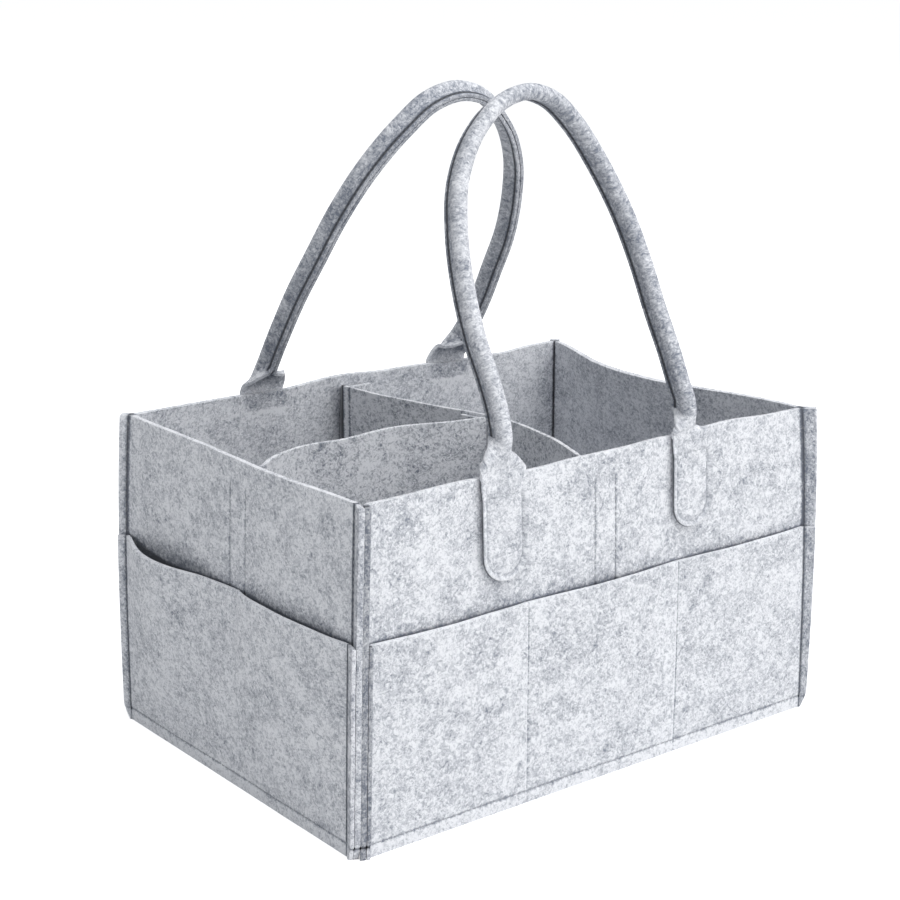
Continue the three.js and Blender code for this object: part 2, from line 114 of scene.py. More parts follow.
class CaddySewingSizes(PropertyGroup):
    """Sizes of the stitching."""

    stitch_length: length("Stitch length", "Length of one stitch", 0.0024)
    stitch_pitch: length("Stitch pitch", "Distance from one stitch to the next", 0.0033)
    thread_width: length("Thread width", "Width of the sewing thread", 0.0006)
    hem_height: length("Hem height", "Height of the seam that holds the floor panel", 0.007)
    edge_margin: length("Edge margin", "Distance of a stitched outline from the edge of a tab", 0.003)


class CaddyColours(PropertyGroup):
    """Colours of the felt, the tape and the thread."""

    felt_light: colour("Light fibres", "Colour of the felt's light fibres", (0.82, 0.835, 0.87))
    felt_dark: colour("Dark fibres", "Colour of the felt's dark fibres", (0.20, 0.222, 0.272))
    thread: colour("Thread", "Colour of the sewing thread", (0.40, 0.42, 0.45))
    loop_tape: colour("Loop tape", "Colour of the loop tape", (0.42, 0.43, 0.46))
    hook_tape: colour("Hook tape", "Colour of the hook tape", (0.34, 0.35, 0.38))
    floor: colour("Floor", "Colour of the floor it stands on", (0.93, 0.93, 0.93))


# Lengths in millimetres that the panel does not offer
FIN_AT_FOOT = 4.6  # depth of the corner fins at the foot
FOOT_ROUNDING = 12  # height over which the fins come out of the foot
FULL_FELT = 3.5  # how far a pocket's felt stands off before its mouth sags
SEAM_SHIFT = 0.3  # how far right of its line a pocket seam is sewn
TAB_SEAM = 170.0  # height of the seam across the top of a tab
TAB_PRINT = 14  # half width of a tab's print on the inside of its wall
NECK = 24  # length over which a handle's rows lie close above the rim
GRIP_SEAM = 21  # where the seam of a grip starts above the rim
TAPE_MIDDLES = {"front": 1.7, "back": 6.8, "left": 5.5}
TAPE_TOP, TAPE_FOOT = 167.5, 14.0
FLANGE = 21.0  # width of a divider's folded end
CROSS_BACK, CROSS_SHIFT, CROSS_BOW = -17.3, 8.5, 21.5  # place of the cross divider's back end, how far
# right of it the front end stands and how far the run between them bows to the right
LONG_FRONT = -16.0  # where the long divider leaves its folded end at the left wall
FOLD_RADIUS = 1.6  # inner radius of a divider's folds
SEWN_HALF = 15.5  # half of that width, from the middle line to an edge
THREAD_SINK, BASKET_SINK = 0.28, 0.3  # how deep stitches lie in the handles' and the basket's felt
FIN_SEAM = 2.1  # q of the seam along a corner fin


def measures(context):
    """Every size of the caddy, in millimetres. An offset is a layer's distance out of the middle
    layer of the wall that it lies on."""
    m = SimpleNamespace(gap=0.3, bend=1.5, fin_gap=0.08, divider_felt=2.2)
    for group in (context.scene.caddy_basket, context.scene.caddy_handles, context.scene.caddy_sewing):
        for name in group.__annotations__:
            setattr(m, name, getattr(group, name) / MM)
    m.bend_radius = m.wall_felt / 2 + m.gap + m.pocket_felt + m.bend
    m.pocket_offset = m.wall_felt / 2 + m.gap + m.pocket_felt / 2
    m.tab_offset = m.wall_felt / 2 + m.gap + m.felt / 2
    m.loop_offset = -(m.wall_felt / 2 + m.gap + m.tape_thickness / 2)
    m.hook_offset = m.loop_offset - m.tape_thickness - m.gap
    m.flange_offset = m.hook_offset - m.tape_thickness / 2 - m.gap - m.divider_felt / 2
    m.divider_top = m.wall_height - 2.5
    m.divider_bottom = m.floor_rise + 0.8
    m.fold_radius = FOLD_RADIUS + m.divider_felt / 2
    m.tape_seam = m.tape_width / 2 - 0.8
    m.tab_radius = m.tab_width / 2
    m.tab_centre = m.wall_height - m.tab_length + m.tab_radius
    return m


# ---- plain shapes in numbers


def ease(share):
    share = np.clip(share, 0, 1)
    return share * share * (3 - 2 * share)


def ripple(along, seed, longest):
    """A smooth uneven line between about -1 and 1, the same for the same seed."""
    rng = np.random.RandomState(seed)
    total = np.zeros_like(np.asarray(along, float))
    for step in range(5):
        wave = longest / (1.0 + 0.75 * step)
        total += np.sin(2 * math.pi * (along / wave + rng.rand())) / (1.0 + 0.6 * step)
    return total / 2.2


def line_near(distance, width):
    """1 on a line, falling to 0 at a few widths from it."""
    return np.exp(-((distance / width) ** 2))


def merged_places(*lists):
    """Places along a sheet in order, without two that nearly coincide."""
    places = np.unique(np.round(np.concatenate([np.atleast_1d(a) for a in lists]), 4))
    kept = [places[0]]
    for place in places[1:]:
        if place - kept[-1] > 1e-3:
            kept.append(place)
    return np.array(kept)


def unit(vectors):
    return vectors / np.maximum(np.linalg.norm(vectors, axis=-1, keepdims=True), 1e-9)


def distance_along(line):
    """Distance of each point of a line from its start."""
    return np.concatenate([[0], np.cumsum(np.linalg.norm(np.diff(line, axis=0), axis=1))])


def read_at(distance, along, values):
    """Rows of values that belong to the distances along, read at another distance."""
    return np.stack([np.interp(distance, along, column) for column in values.T], axis=-1)


def smooth_line(points, count):
    """A smooth line through points, with count steps between each pair."""
    points = np.asarray(points, float)
    at = distance_along(points)
    slopes = np.gradient(points, at, axis=0)
    share = np.linspace(0, 1, count, endpoint=False)[:, None]
    lines = [
        a + (b - a) * ease(share) + step * (share * (1 - share) ** 2 * u - share**2 * (1 - share) * v)
        for a, b, u, v, step in zip(points[:-1], points[1:], slopes[:-1], slopes[1:], np.diff(at))
    ]
    return np.concatenate([*lines, points[-1:]])


# ---- the basket's sides


class Corner:
    """A corner of the basket: how far its rim is drawn in along the wall, how much deeper its seam fin
    is there, and by what angle the fin leans towards the wall."""

    def __init__(self, drawn=0.0, deeper=0.0, lean=0.0):
        self.drawn, self.deeper, self.lean = drawn, deeper, math.radians(lean)


class End:
    """One end of a side, at a corner: along is how much shorter the side gets there, inward how far
    it is drawn towards the middle of the basket, turn the angle of its fin."""

    def __init__(self, corner, is_long):
        self.along = corner.drawn if is_long else 0.0
        self.inward = 0.0 if is_long else corner.drawn
        self.deeper = corner.deeper
        self.turn = math.pi / 4 + (corner.lean if is_long else -corner.lean)


class Side:
    """One side of the basket, drawn as the front is and then turned about its middle. Each dip of its
    rim has a middle, a width and a depth."""

    def __init__(self, turn, is_long, bowed, seed, corners, dips=()):
        self.turn, self.is_long, self.bowed, self.seed, self.dips = turn, is_long, bowed, seed, dips
        self.ends = [End(corner, is_long) for corner in corners]

    def end(self, q, name):
        """A value of the end that each place q of the side belongs to."""
        return np.where(np.asarray(q) < 0, getattr(self.ends[0], name), getattr(self.ends[1], name))

    def world(self, x, out, z):
        cos, sin = math.cos(self.turn), math.sin(self.turn)
        return np.stack([x * cos + out * sin, x * sin - out * cos, z], axis=-1)


NEAR, FRONT_RIGHT, BACK_LEFT, BACK_RIGHT = Corner(3.0, 1.0, 25.0), Corner(3.2, 3.2), Corner(), Corner()
FRONT_DIPS = ((-38, 14, 0.9), (-62, 14, 1.2), (-97, 22, -0.9), (38, 15, -0.7), (92, 22, -2.0))
BACK_DIPS = ((-72, 17, 2.0), (-112, 15, 1.8), (64, 18, 0.8), (14, 22, -1.9))
FRONT = Side(0.0, True, False, 11, (NEAR, FRONT_RIGHT), FRONT_DIPS)
BACK = Side(math.pi, True, False, 23, (BACK_RIGHT, BACK_LEFT), BACK_DIPS)
LEFT = Side(-math.pi / 2, False, False, 37, (BACK_LEFT, NEAR), ((28, 30, 0.8),))
RIGHT = Side(math.pi / 2, False, True, 41, (FRONT_RIGHT, BACK_RIGHT))


def side_named(name):
    return dict(zip(SIDES, (FRONT, BACK, LEFT, RIGHT)))[name]


def mouth_inset(m, z):
    return m.mouth_inset * (np.maximum(z, 0) / m.wall_height) ** 3


def half_width(m, side, z, q=0.0):
    """Half of a side's length at a height, to the middle layers of the walls beside it."""
    whole = (m.floor_length if side.is_long else m.floor_depth) / 2 - mouth_inset(m, z)
    return whole - side.end(q, "along") * np.maximum(z, 0) / m.wall_height * (np.asarray(q) != 0)


def stand_off(m, side, z):
    """Distance of a side's middle layer from the middle of the basket at a height."""
    return (m.floor_depth if side.is_long else m.floor_length) / 2 - mouth_inset(m, z)


def flat_half(m, side, z, q):
    """Width of the flat part of a wall from its middle to the bend at the end that q lies on."""
    turn = side.end(q, "turn")
    bend_line = half_width(m, side, z, q) - (m.wall_felt + m.fin_gap) / 2 / np.sin(turn)
    return bend_line - m.bend_radius * np.tan(turn / 2)


def bow(m, side, share, z):
    """How far a bowed wall stands further out, at a share of its half length from its middle."""
    if not side.bowed:
        return np.zeros_like(share * z)
    along = np.clip((share + 1) / 2, 0, 1) ** 1.25
    across = np.maximum(np.sin(math.pi * along), 0) ** 1.3
    return -m.right_wall_bow * across * (z / m.wall_height) ** 2


def slack(m, side, share, z):
    """The felt's own unevenness, under a millimetre at the rim, and the pull of its two corners."""
    x = share * half_width(m, side, z)
    held = 1 - np.clip(share, -1, 1) ** 4
    uneven = 0.7 * ripple(x, side.seed, 130) * held * (0.15 + 0.85 * ease(z / m.wall_height))
    left, right = side.ends
    pull = left.inward * ((1 - share) / 2) ** 5 + right.inward * ((1 + share) / 2) ** 5
    return uneven - pull * np.maximum(z, 0) / m.wall_height


def rise(m, side, share, z, fullness):
    """How far a panel stands off the straight side."""
    total = bow(m, side, share, z) + slack(m, side, share, z)
    return total if fullness is None else total + fullness(share, z)


def mouth_sag(full):
    """How far the mouth of a pocket sags where its felt stands off by full."""
    return 0.2 * np.maximum(full - FULL_FELT, 0)


def panel(m, side, q, z, offset, fullness=None):
    """Points of a panel along a wall. q is -1 to 1 on the flat, to 2 round the bends and to 3 on the
    fins; offset is outward from the wall's middle layer."""
    q, z = np.broadcast_arrays(np.asarray(q, float), np.asarray(z, float))
    share = np.clip(q, -1, 1)
    half = flat_half(m, side, z, q)
    end_turn = side.end(q, "turn")
    step = 0.004
    before, after = (rise(m, side, np.clip(share + s, -1, 1), z, fullness) for s in (-step, step))
    slope = (after - before) / (2 * step * half)
    run = np.hypot(slope, 1)
    turn = np.clip(np.abs(q) - 1, 0, 1) * end_turn
    depth = FIN_AT_FOOT + (m.fin_depth - FIN_AT_FOOT + side.end(q, "deeper")) * z / m.wall_height
    depth = depth * (0.25 + 0.75 * np.sin(math.pi / 2 * np.clip(z / FOOT_ROUNDING, 0, 1)))
    reach = depth + (m.wall_felt + m.fin_gap) / 2 / np.tan(end_turn) - m.bend_radius * np.tan(end_turn / 2)
    fin = np.clip(np.abs(q) - 2, 0, 1) * np.maximum(reach, 0.4)
    sign = np.sign(q)
    flat = np.abs(q) <= 1
    x = share * half + sign * (m.bend_radius * np.sin(turn) + fin * np.cos(end_turn))
    out = stand_off(m, side, z) + rise(m, side, share, z, fullness)
    out = out + m.bend_radius * (1 - np.cos(turn)) + fin * np.sin(end_turn)
    normal_x = np.where(flat, -slope / run, -sign * np.sin(turn))
    normal_out = np.where(flat, 1 / run, np.cos(turn))
    sag = 0.11 * np.abs(bow(m, side, share, z))
    for middle, width, drop in side.dips:
        sag = sag + drop * line_near(share * half - middle, width) * (z / m.wall_height) ** 6
    if fullness is not None:
        sag = sag + mouth_sag(fullness(share, z))
    return side.world(x + normal_x * offset, out + normal_out * offset, z - sag)


def run_along(m, side, q):
    """Distance along the felt from the middle of a wall, at a q of its panel."""
    half = flat_half(m, side, 0.0, q)
    size = np.abs(q)
    along = np.minimum(size, 1) * half + np.clip(size - 1, 0, 1) * m.bend_radius * side.end(q, "turn")
    return np.sign(q) * (along + np.clip(size - 2, 0, 1) * (m.fin_depth + side.end(q, "deeper")))


def panel_width(m, side):
    """Width of the flat cut of a wall or a pocket panel."""
    return sum(abs(float(run_along(m, side, np.array(q)))) for q in (-3.0, 3.0))


# ---- felt sheets


def clear_selection():
    if bpy.context.object and bpy.context.object.mode != "OBJECT":
        bpy.ops.object.mode_set(mode="OBJECT")
    bpy.ops.object.select_all(action="DESELECT")


def apply_modifiers(piece):
    bpy.context.view_layer.objects.active = piece
    for modifier in list(piece.modifiers):
        bpy.ops.object.modifier_apply(modifier=modifier.name)


def grid_sheet(name, across, along, place):
    """A grid whose vertices are put where place(a, b) says, for every a of across and b of along."""
    clear_selection()
    bpy.ops.mesh.primitive_grid_add(x_subdivisions=len(across) - 1, y_subdivisions=len(along) - 1, size=1)
    piece = bpy.context.object
    piece.name = piece.data.name = name
    flat = np.empty(len(piece.data.vertices) * 3)
    piece.data.vertices.foreach_get("co", flat)
    flat = flat.reshape(-1, 3)
    column = np.rint((flat[:, 0] + 0.5) * (len(across) - 1)).astype(int)
    row = np.rint((flat[:, 1] + 0.5) * (len(along) - 1)).astype(int)
    a, b = np.asarray(across)[column], np.asarray(along)[row]
    border = (column == 0) | (column == len(across) - 1) | (row == 0) | (row == len(along) - 1)
    piece.data.vertices.foreach_set("co", (place(a, b) * MM).ravel())
    piece.data.update()
    return piece, a, b, border


def set_attribute(mesh, name, values):
    kind, field = ("FLOAT_VECTOR", "vector") if np.ndim(values) == 2 else ("FLOAT", "value")
    attribute = mesh.attributes.new(name, kind, "POINT")
    attribute.data.foreach_set(field, np.asarray(values, np.float32).ravel())


def thicken(
    piece, thickness, flat_x, flat_y, seam, border, *, lip, shade=0.0, edge=1.0, axis=1, near=0.0, far=0.0
):
    """Gives a sheet its felt thickness, pinched along its seams and rounded by a lip at its edges, and
    keeps for the material where each point lay on the flat cut, how much darker its seams are drawn,
    the painted shade (shade, a painted highlight where negative) and the painted highlight on its raw
    edges (edge). near and far darken only the layer that lies nearer to the basket's middle along an
    axis, and the other layer; at hollows, pocket mouths and tab edges this is painted shade."""
    mesh = piece.data
    group = piece.vertex_groups.new(name="thickness")
    weights = 1 - 0.4 * np.clip(seam, 0, 1)
    if lip <= 0:
        weights = np.where(border, 0.72, weights)
    for index, weight in enumerate(weights):
        group.add([index], float(weight), "REPLACE")
    count = len(mesh.vertices)
    solidify = piece.modifiers.new("Felt", "SOLIDIFY")
    solidify.thickness = thickness * MM
    solidify.offset = 0
    solidify.vertex_group = "thickness"
    solidify.use_quality_normals = True
    apply_modifiers(piece)
    layers = len(mesh.vertices) // count
    layer = np.repeat(np.arange(layers), count) * thickness
    place = np.stack([np.tile(flat_x, layers), np.tile(flat_y, layers), layer], axis=-1) * MM
    points = np.empty(len(mesh.vertices) * 3)
    mesh.vertices.foreach_get("co", points)
    away = np.abs(points.reshape(layers, count, 3)[:, :, axis])
    inner = away < away.max(axis=0) - 1e-7
    set_attribute(mesh, "felt_place", place)
    # Seams drawn darker plus painted shade, and a painted highlight along the raw edges
    set_attribute(mesh, "seam_and_painted_shade", (np.clip(seam, 0, 1) * 0.55 + shade + np.where(inner, near, far)).ravel())
    set_attribute(mesh, "edge_highlight", np.tile(border * edge, layers))
    piece.vertex_groups.clear()
    if lip > 0:
        bevel = piece.modifiers.new("Lip", "BEVEL")
        bevel.width = lip * MM
        bevel.segments = 2
        bevel.limit_method = "ANGLE"
        bevel.angle_limit = math.radians(55)
        apply_modifiers(piece)
    mesh.polygons.foreach_set("use_smooth", np.ones(len(mesh.polygons), bool))
    mesh.update()


def dress(piece, material):
    piece.data.materials.clear()
    piece.data.materials.append(material)


def hand_over(piece, material, body, node):
    """Dresses a finished sheet and says which body it rides on and which CAD node it takes the place of."""
    dress(piece, material)
    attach(piece, body)
    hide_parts(node)


# ---- materials


def add_node(tree, kind, inputs=(), **settings):
    node = tree.nodes.new(kind)
    for name, value in settings.items():
        setattr(node, name, value)
    for key, value in dict(inputs).items():
        if isinstance(value, bpy.types.NodeSocket):
            tree.links.new(value, node.inputs[key])
        else:
            node.inputs[key].default_value = value
    return node


def new_material(name, slot_colour):
    material = bpy.data.materials.new(name)
    material.use_nodes = True
    material.diffuse_color = (*slot_colour, 1)
    material.node_tree.nodes.clear()
    return material, material.node_tree


def finish_material(tree, tint, strength, distance, height, **values):
    """The shader and the output of a matt material with a fine relief."""
    bump = add_node(tree, "ShaderNodeBump", {"Strength": strength, "Distance": distance, "Height": height})
    inputs = {"Base Color": tint, "Normal": bump.outputs[0], **values}
    shader = add_node(tree, "ShaderNodeBsdfPrincipled", inputs)
    add_node(tree, "ShaderNodeOutputMaterial", {"Surface": shader.outputs[0]})


def add_math(tree, operation, first, second=0.0, third=0.0):
    return add_node(tree, "ShaderNodeMath", {0: first, 1: second, 2: third}, operation=operation).outputs[0]


def attribute_node(tree, name):
    return add_node(tree, "ShaderNodeAttribute", attribute_name=name)


def noise_texture(tree, place, scale, detail, roughness=0.5):
    inputs = {"Vector": place, "Scale": scale, "Detail": detail, "Roughness": roughness}
    return add_node(tree, "ShaderNodeTexNoise", inputs)


def map_range(tree, value, low, high, most):
    """0 where the value is low, most where it is high."""
    inputs = {"Value": value, "From Min": low, "From Max": high, "To Min": 0.0, "To Max": most}
    return add_node(tree, "ShaderNodeMapRange", inputs).outputs[0]


def blend_colours(tree, share, first, second):
    node = add_node(tree, "ShaderNodeMix", data_type="RGBA")
    for socket, value in zip([s for s in node.inputs if s.enabled], (share, first, second)):
        if isinstance(value, bpy.types.NodeSocket):
            tree.links.new(value, socket)
        else:
            socket.default_value = value
    return next(s for s in node.outputs if s.enabled)


def fibre_layer(tree, place, angle, long_mm, wide_mm, shift):
    """Noise drawn out along one direction, as a layer of fibres that lie that way."""
    inputs = {
        "Vector": place,
        "Location": (shift, shift * 0.7, shift * 0.3),
        "Rotation": (0, 0, angle),
        "Scale": (long_mm * MM, wide_mm * MM, wide_mm * MM),
    }
    mapped = add_node(tree, "ShaderNodeMapping", inputs, vector_type="TEXTURE")
    return noise_texture(tree, mapped.outputs[0], 1.0, 1.5, 0.55).outputs["Fac"]


def felt_noise(tree, place, size_mm, detail, roughness):
    """Even noise with spots of about one size, around zero."""
    noise = noise_texture(tree, place, 1 / (size_mm * MM), detail, roughness)
    return add_math(tree, "SUBTRACT", noise.outputs["Fac"], 0.5)


# Layers of fibres: angle, length and width in millimetres, and shift of the pattern
FIBRES = ((0.25, 3.2, 0.85, 0.0), (1.35, 2.8, 0.8, 3.1), (2.4, 3.6, 0.9, 7.7))
# Near black, a painted shadow where the painted shade is deepest
GROOVE_SHADOW_COLOUR = (0.02, 0.021, 0.025, 1)


def felt_material(context, name, seed, tone=1.0, contrast=1.0):
    """Heathered felt: pale fibres with darker ones among them, clouded, matt and slightly fuzzy."""
    colours = context.scene.caddy_colours
    light = [min(c * tone, 1) for c in colours.felt_light]
    dark = [c * tone for c in colours.felt_dark]
    material, tree = new_material(name, [(a + b) / 2 for a, b in zip(light, dark)])
    place = attribute_node(tree, "felt_place").outputs["Vector"]
    drift = noise_texture(tree, place, 300.0, 1.0).outputs["Color"]
    bend = {0: drift, 1: (0.003, 0.003, 0.003), 2: place}
    bent = add_node(tree, "ShaderNodeVectorMath", bend, operation="MULTIPLY_ADD").outputs[0]
    layers = [fibre_layer(tree, bent, *sizes, seed + shift) for *sizes, shift in FIBRES]
    strands, pale = (
        add_math(tree, pick, add_math(tree, pick, layers[0], layers[1]), layers[2]) for pick in ("MAXIMUM", "MINIMUM")
    )
    shade = add_math(
        tree, "SUBTRACT", map_range(tree, strands, 0.52, 0.78, 0.6), map_range(tree, pale, 0.44, 0.28, 0.45)
    )
    grain = felt_noise(tree, bent, 0.8, 2.0, 0.7)
    spots = felt_noise(tree, bent, 2.2, 3.0, 0.68)
    cloud = felt_noise(tree, bent, 7.5, 4.0, 0.66)
    wide_cloud = felt_noise(tree, place, 26.0, 2.0, 0.5)
    for noise, weight in ((grain, 0.6), (spots, 1.9), (cloud, 1.5), (wide_cloud, 0.75)):
        shade = add_math(tree, "MULTIPLY_ADD", noise, weight, shade)
    # Painted shade and darker seams from the mesh, less painted shade where the raw edges get a painted highlight;
    # the deepest painted shade blends towards near black
    darker = attribute_node(tree, "seam_and_painted_shade").outputs["Fac"]
    edge = attribute_node(tree, "edge_highlight").outputs["Fac"]
    shade = add_math(tree, "MULTIPLY_ADD", edge, -0.25, add_math(tree, "ADD", darker, shade))
    shade = map_range(tree, shade, 0.3 - 0.6 / contrast, 0.3 + 0.6 / contrast, 1.0)
    tinted = blend_colours(tree, shade, (*light, 1), (*dark, 1))
    tinted = blend_colours(tree, map_range(tree, darker, 0.55, 1.2, 0.85), tinted, GROOVE_SHADOW_COLOUR)
    height = add_math(tree, "MULTIPLY_ADD", strands, -0.6, add_math(tree, "MULTIPLY", grain, 0.7))
    height = add_math(tree, "MULTIPLY_ADD", cloud, -0.5, height)
    fuzz = {"Roughness": 0.95, "Specular IOR Level": 0.12, "Sheen Weight": 0.18, "Sheen Roughness": 0.6}
    finish_material(tree, tinted, 0.6, 0.0006, height, **fuzz)
    return material


def thread_material(name, tint):
    """Twisted sewing thread."""
    material, tree = new_material(name, tint)
    place = add_node(tree, "ShaderNodeTexCoord").outputs["Object"]
    twist = noise_texture(tree, place, 2600.0, 2.0).outputs["Fac"]
    tinted = blend_colours(tree, twist, (*tint, 1), (*[c * 0.55 for c in tint], 1))
    finish_material(tree, tinted, 0.4, 0.0002, twist, **{"Roughness": 0.8, "Specular IOR Level": 0.2})
    return material


def tape_material(name, tint, pile_mm):
    """Hook or loop tape: a woven ground with rows of small tufts."""
    material, tree = new_material(name, tint)
    place = attribute_node(tree, "felt_place").outputs["Vector"]
    pile = {"Vector": place, "Scale": 1 / (pile_mm * MM), "Randomness": 0.45}
    tufts = add_node(tree, "ShaderNodeTexVoronoi", pile).outputs["Distance"]
    worn = noise_texture(tree, place, 180.0, 3.0).outputs["Fac"]
    share = add_math(tree, "MULTIPLY_ADD", worn, 0.4, add_math(tree, "MULTIPLY", tufts, 0.6))
    tinted = blend_colours(tree, share, (*[min(c * 1.25, 1) for c in tint], 1), (*[c * 0.55 for c in tint], 1))
    finish_material(tree, tinted, 0.7, 0.0006, add_math(tree, "SUBTRACT", 1.0, tufts), Roughness=0.85)
    return material


# ---- stitches


def stitch_object(m, name, rows, material, body):
    """Short stitches, half sunk in the felt, along rows of (points, outward normals) in millimetres."""
    clear_selection()
    bpy.ops.mesh.primitive_uv_sphere_add(segments=6, ring_count=5, radius=1)
    model = bpy.context.object
    ball = np.array([v.co for v in model.data.vertices])
    faces = [list(p.vertices) for p in model.data.polygons]
    bpy.data.objects.remove(model, do_unlink=True)
    half_width, half_length = m.thread_width / 2, m.stitch_length / 2
    rounded = np.sign(ball[:, 2]) * np.abs(ball[:, 2]) ** 0.6
    aside_by, up_by, forward_by = ball[:, 0] * half_width, ball[:, 1] * half_width, rounded * half_length
    up_by = up_by - 0.16 * rounded**2
    points, polygons = [], []
    for line, normals in rows:
        along = distance_along(line)
        count = max(int(along[-1] / m.stitch_pitch), 1)
        for middle in (np.arange(count) + 0.5) * along[-1] / count:
            forward = unit(read_at(middle + 0.6, along, line) - read_at(middle - 0.6, along, line))
            up = read_at(middle, along, normals)
            up = unit(up - forward * up.dot(forward))
            sunk = read_at(middle, along, line) - up * m.thread_width * 0.12
            first = len(points) * len(ball)
            points.append(
                sunk + np.outer(aside_by, np.cross(up, forward)) + np.outer(up_by, up) + np.outer(forward_by, forward)
            )
            polygons.extend([[first + i for i in face] for face in faces])
    mesh = bpy.data.meshes.new(name)
    mesh.from_pydata((np.concatenate(points) * MM).tolist(), [], polygons)
    mesh.polygons.foreach_set("use_smooth", np.ones(len(mesh.polygons), bool))
    piece = bpy.data.objects.new(name, mesh)
    bpy.context.scene.collection.objects.link(piece)
    mesh.validate()
    dress(piece, material)
    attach(piece, body)


def surface_row(surface, a, b):
    """A row of points on surface(a, b, lift) with the outward normals there."""
    a, b = np.broadcast_arrays(np.asarray(a, float), np.asarray(b, float))
    low = surface(a, b, 0.0)
    return low, unit(surface(a, b, 0.5) - low)


# ---- the basket


def panel_rows(m, top, close=()):
    """Heights of a panel's rows: close at the hem, its seam and the raw edge, even between them."""
    hem = m.hem_height + np.array([-1.4, -0.8, -0.4, 0, 0.4, 0.8, 1.4])
    even = np.linspace(14, top - 3, int((top - 17) / 4.2))
    return merged_places([0, 0.8, 2.5, 4.5], hem, [10, 12], even, [top - 1.6, top - 0.7, top], close)


def panel_columns(m, side, count, seams_at):
    """q values of a panel's columns, close together at its seams, bends and fins."""
    beside = np.array([-1.5, -0.9, -0.45, 0, 0.45, 0.9, 1.5])
    seams = [(beside + x) / flat_half(m, side, m.pocket_height, x) for x in seams_at]
    ends = np.concatenate([1 + np.linspace(0, 1, 6), 2 + np.array([0.15, 0.3, 0.55, 0.85, 1])])
    return merged_places(-ends, np.linspace(-1, 1, count), *seams, ends)


def fin_seam(q):
    return line_near(np.abs(q) - FIN_SEAM, 0.22)


def hem_line(m, side, x):
    return m.hem_height + 0.15 * ripple(x, side.seed + 5, 90)


def tape_outline(m, x, z, middle):
    """Distance from the stitched outline of a tape."""
    beside = np.abs(np.abs(x - middle) - m.tape_seam) + np.where((z > TAPE_FOOT) & (z < TAPE_TOP), 0, 9)
    level = np.abs(x - middle) < m.tape_seam
    return np.minimum(beside, np.minimum(np.abs(z - TAPE_FOOT), np.abs(z - TAPE_TOP)) + np.where(level, 0, 9))


def corner_shade(side, q):
    """Painted shade in the groove of each corner and on the seam fins of the near corner and the front right one."""
    size = np.abs(q)
    groove = ease((size - 1.25) / 0.3) * (1 - ease((size - 1.9) / 0.3))
    fin = 0.7 * ease((-q - 1.6) / 0.4) * (side is FRONT) + 0.32 * ease((q - 2.3) / 0.3) * (side in (FRONT, LEFT))
    return np.maximum(0.85 * groove, fin)


def mouth_shade(m, side, name, q, z):
    """Painted shadow on a wall in and just above the mouths of its pockets."""
    full = pocket_fullness(m, name)(np.clip(q, -1, 1), m.pocket_height + 0 * z)
    above = z - (m.pocket_height - mouth_sag(full) - 0.45 * full)
    line, soft = 1 - ease(above / 1.8), 1 - ease(above / (8 + 0.9 * full))
    return (0.6 * line + (0.2 + 0.035 * full) * soft) * (np.abs(q) < 1.5)


def panel_sheet(m, side, name, count, seams_at, rows, offset, fullness=None):
    """A panel's grid, with q, the distance from the middle and the height of each of its points."""
    columns = panel_columns(m, side, count, seams_at)
    piece, q, z, border = grid_sheet(name, columns, rows, lambda a, b: panel(m, side, a, b, offset, fullness))
    return piece, q, np.clip(q, -1, 1) * flat_half(m, side, z, q), z, border


def make_wall(m, name, material):
    side, tape = side_named(name), TAPE_MIDDLES.get(name)
    seams_at = [] if tape is None else [tape - m.tape_seam, tape + m.tape_seam]
    tab_edges = []
    if side.is_long:
        tab_edges = [x + a for x in tab_middles(handle_facts(m, name)) for a in (-TAB_PRINT, TAB_PRINT)]
    mouth_rows = np.arange(m.pocket_height - 7, m.pocket_height + 8, 1.1)
    rows = panel_rows(m, m.wall_height, [*mouth_rows, 168.2, 169, 170, 171])
    count = 73 if side.is_long else 51
    piece, q, x, z, border = panel_sheet(m, side, f"{name}_wall_felt", count, [*seams_at, *tab_edges], rows, 0.0)
    seam = np.maximum(fin_seam(q), line_near(z - hem_line(m, side, x), 0.8))
    if tape is not None:
        seam = np.maximum(seam, 0.8 * line_near(tape_outline(m, x, z, tape), 0.7))
    behind_tabs = 0 * x
    for low, high in zip(tab_edges[::2], tab_edges[1::2]):
        sewn = ease((x - low + 0.8) / 1.6) * ease((high + 0.8 - x) / 1.6)
        behind_tabs += sewn * (0.38 * ease((z - 169.6) / 1.2) - 0.45 * line_near(z - 168.8, 0.8))
    # Painted shade in the corner grooves and on the seam fins, painted shadow under the pockets' mouths (far) and a
    # painted highlight on the rim (edge)
    thicken(
        piece, m.wall_felt, run_along(m, side, q) + side.seed * 40, z, seam, border, lip=0.6,
        shade=corner_shade(side, q), edge=0.4 if side is BACK else 0.7, axis=int(side.is_long),
        near=behind_tabs, far=mouth_shade(m, side, name, q, z),
    )
    flat = (panel_width(m, side), m.wall_height)
    hand_over(piece, material, "basket", f"{name}_wall")


def pockets_of(m, name):
    """The pockets of a side: ends, depth of the fullest part, where along it that lies and how far the
    whole mouth stands open."""
    side = side_named(name)
    if side.is_long:
        left, right = (m.pocket_seam_spacing / 2 / flat_half(m, side, m.pocket_height, q) for q in (-1, 1))
        return [(-1, -left, 1.6, 1.0, 0.9), (-left, right, 1.4, 1.0, 0.9), (right, 1, 1.2, 1.0, 0.9)]
    if name == "left":
        return [(-1, 0.08, 8.6, 0.68, 0.8), (0.08, 1, 0.5, 1.0, 3.0)]
    return [(-1, 1, 10.0, 1.0, 1.0)]


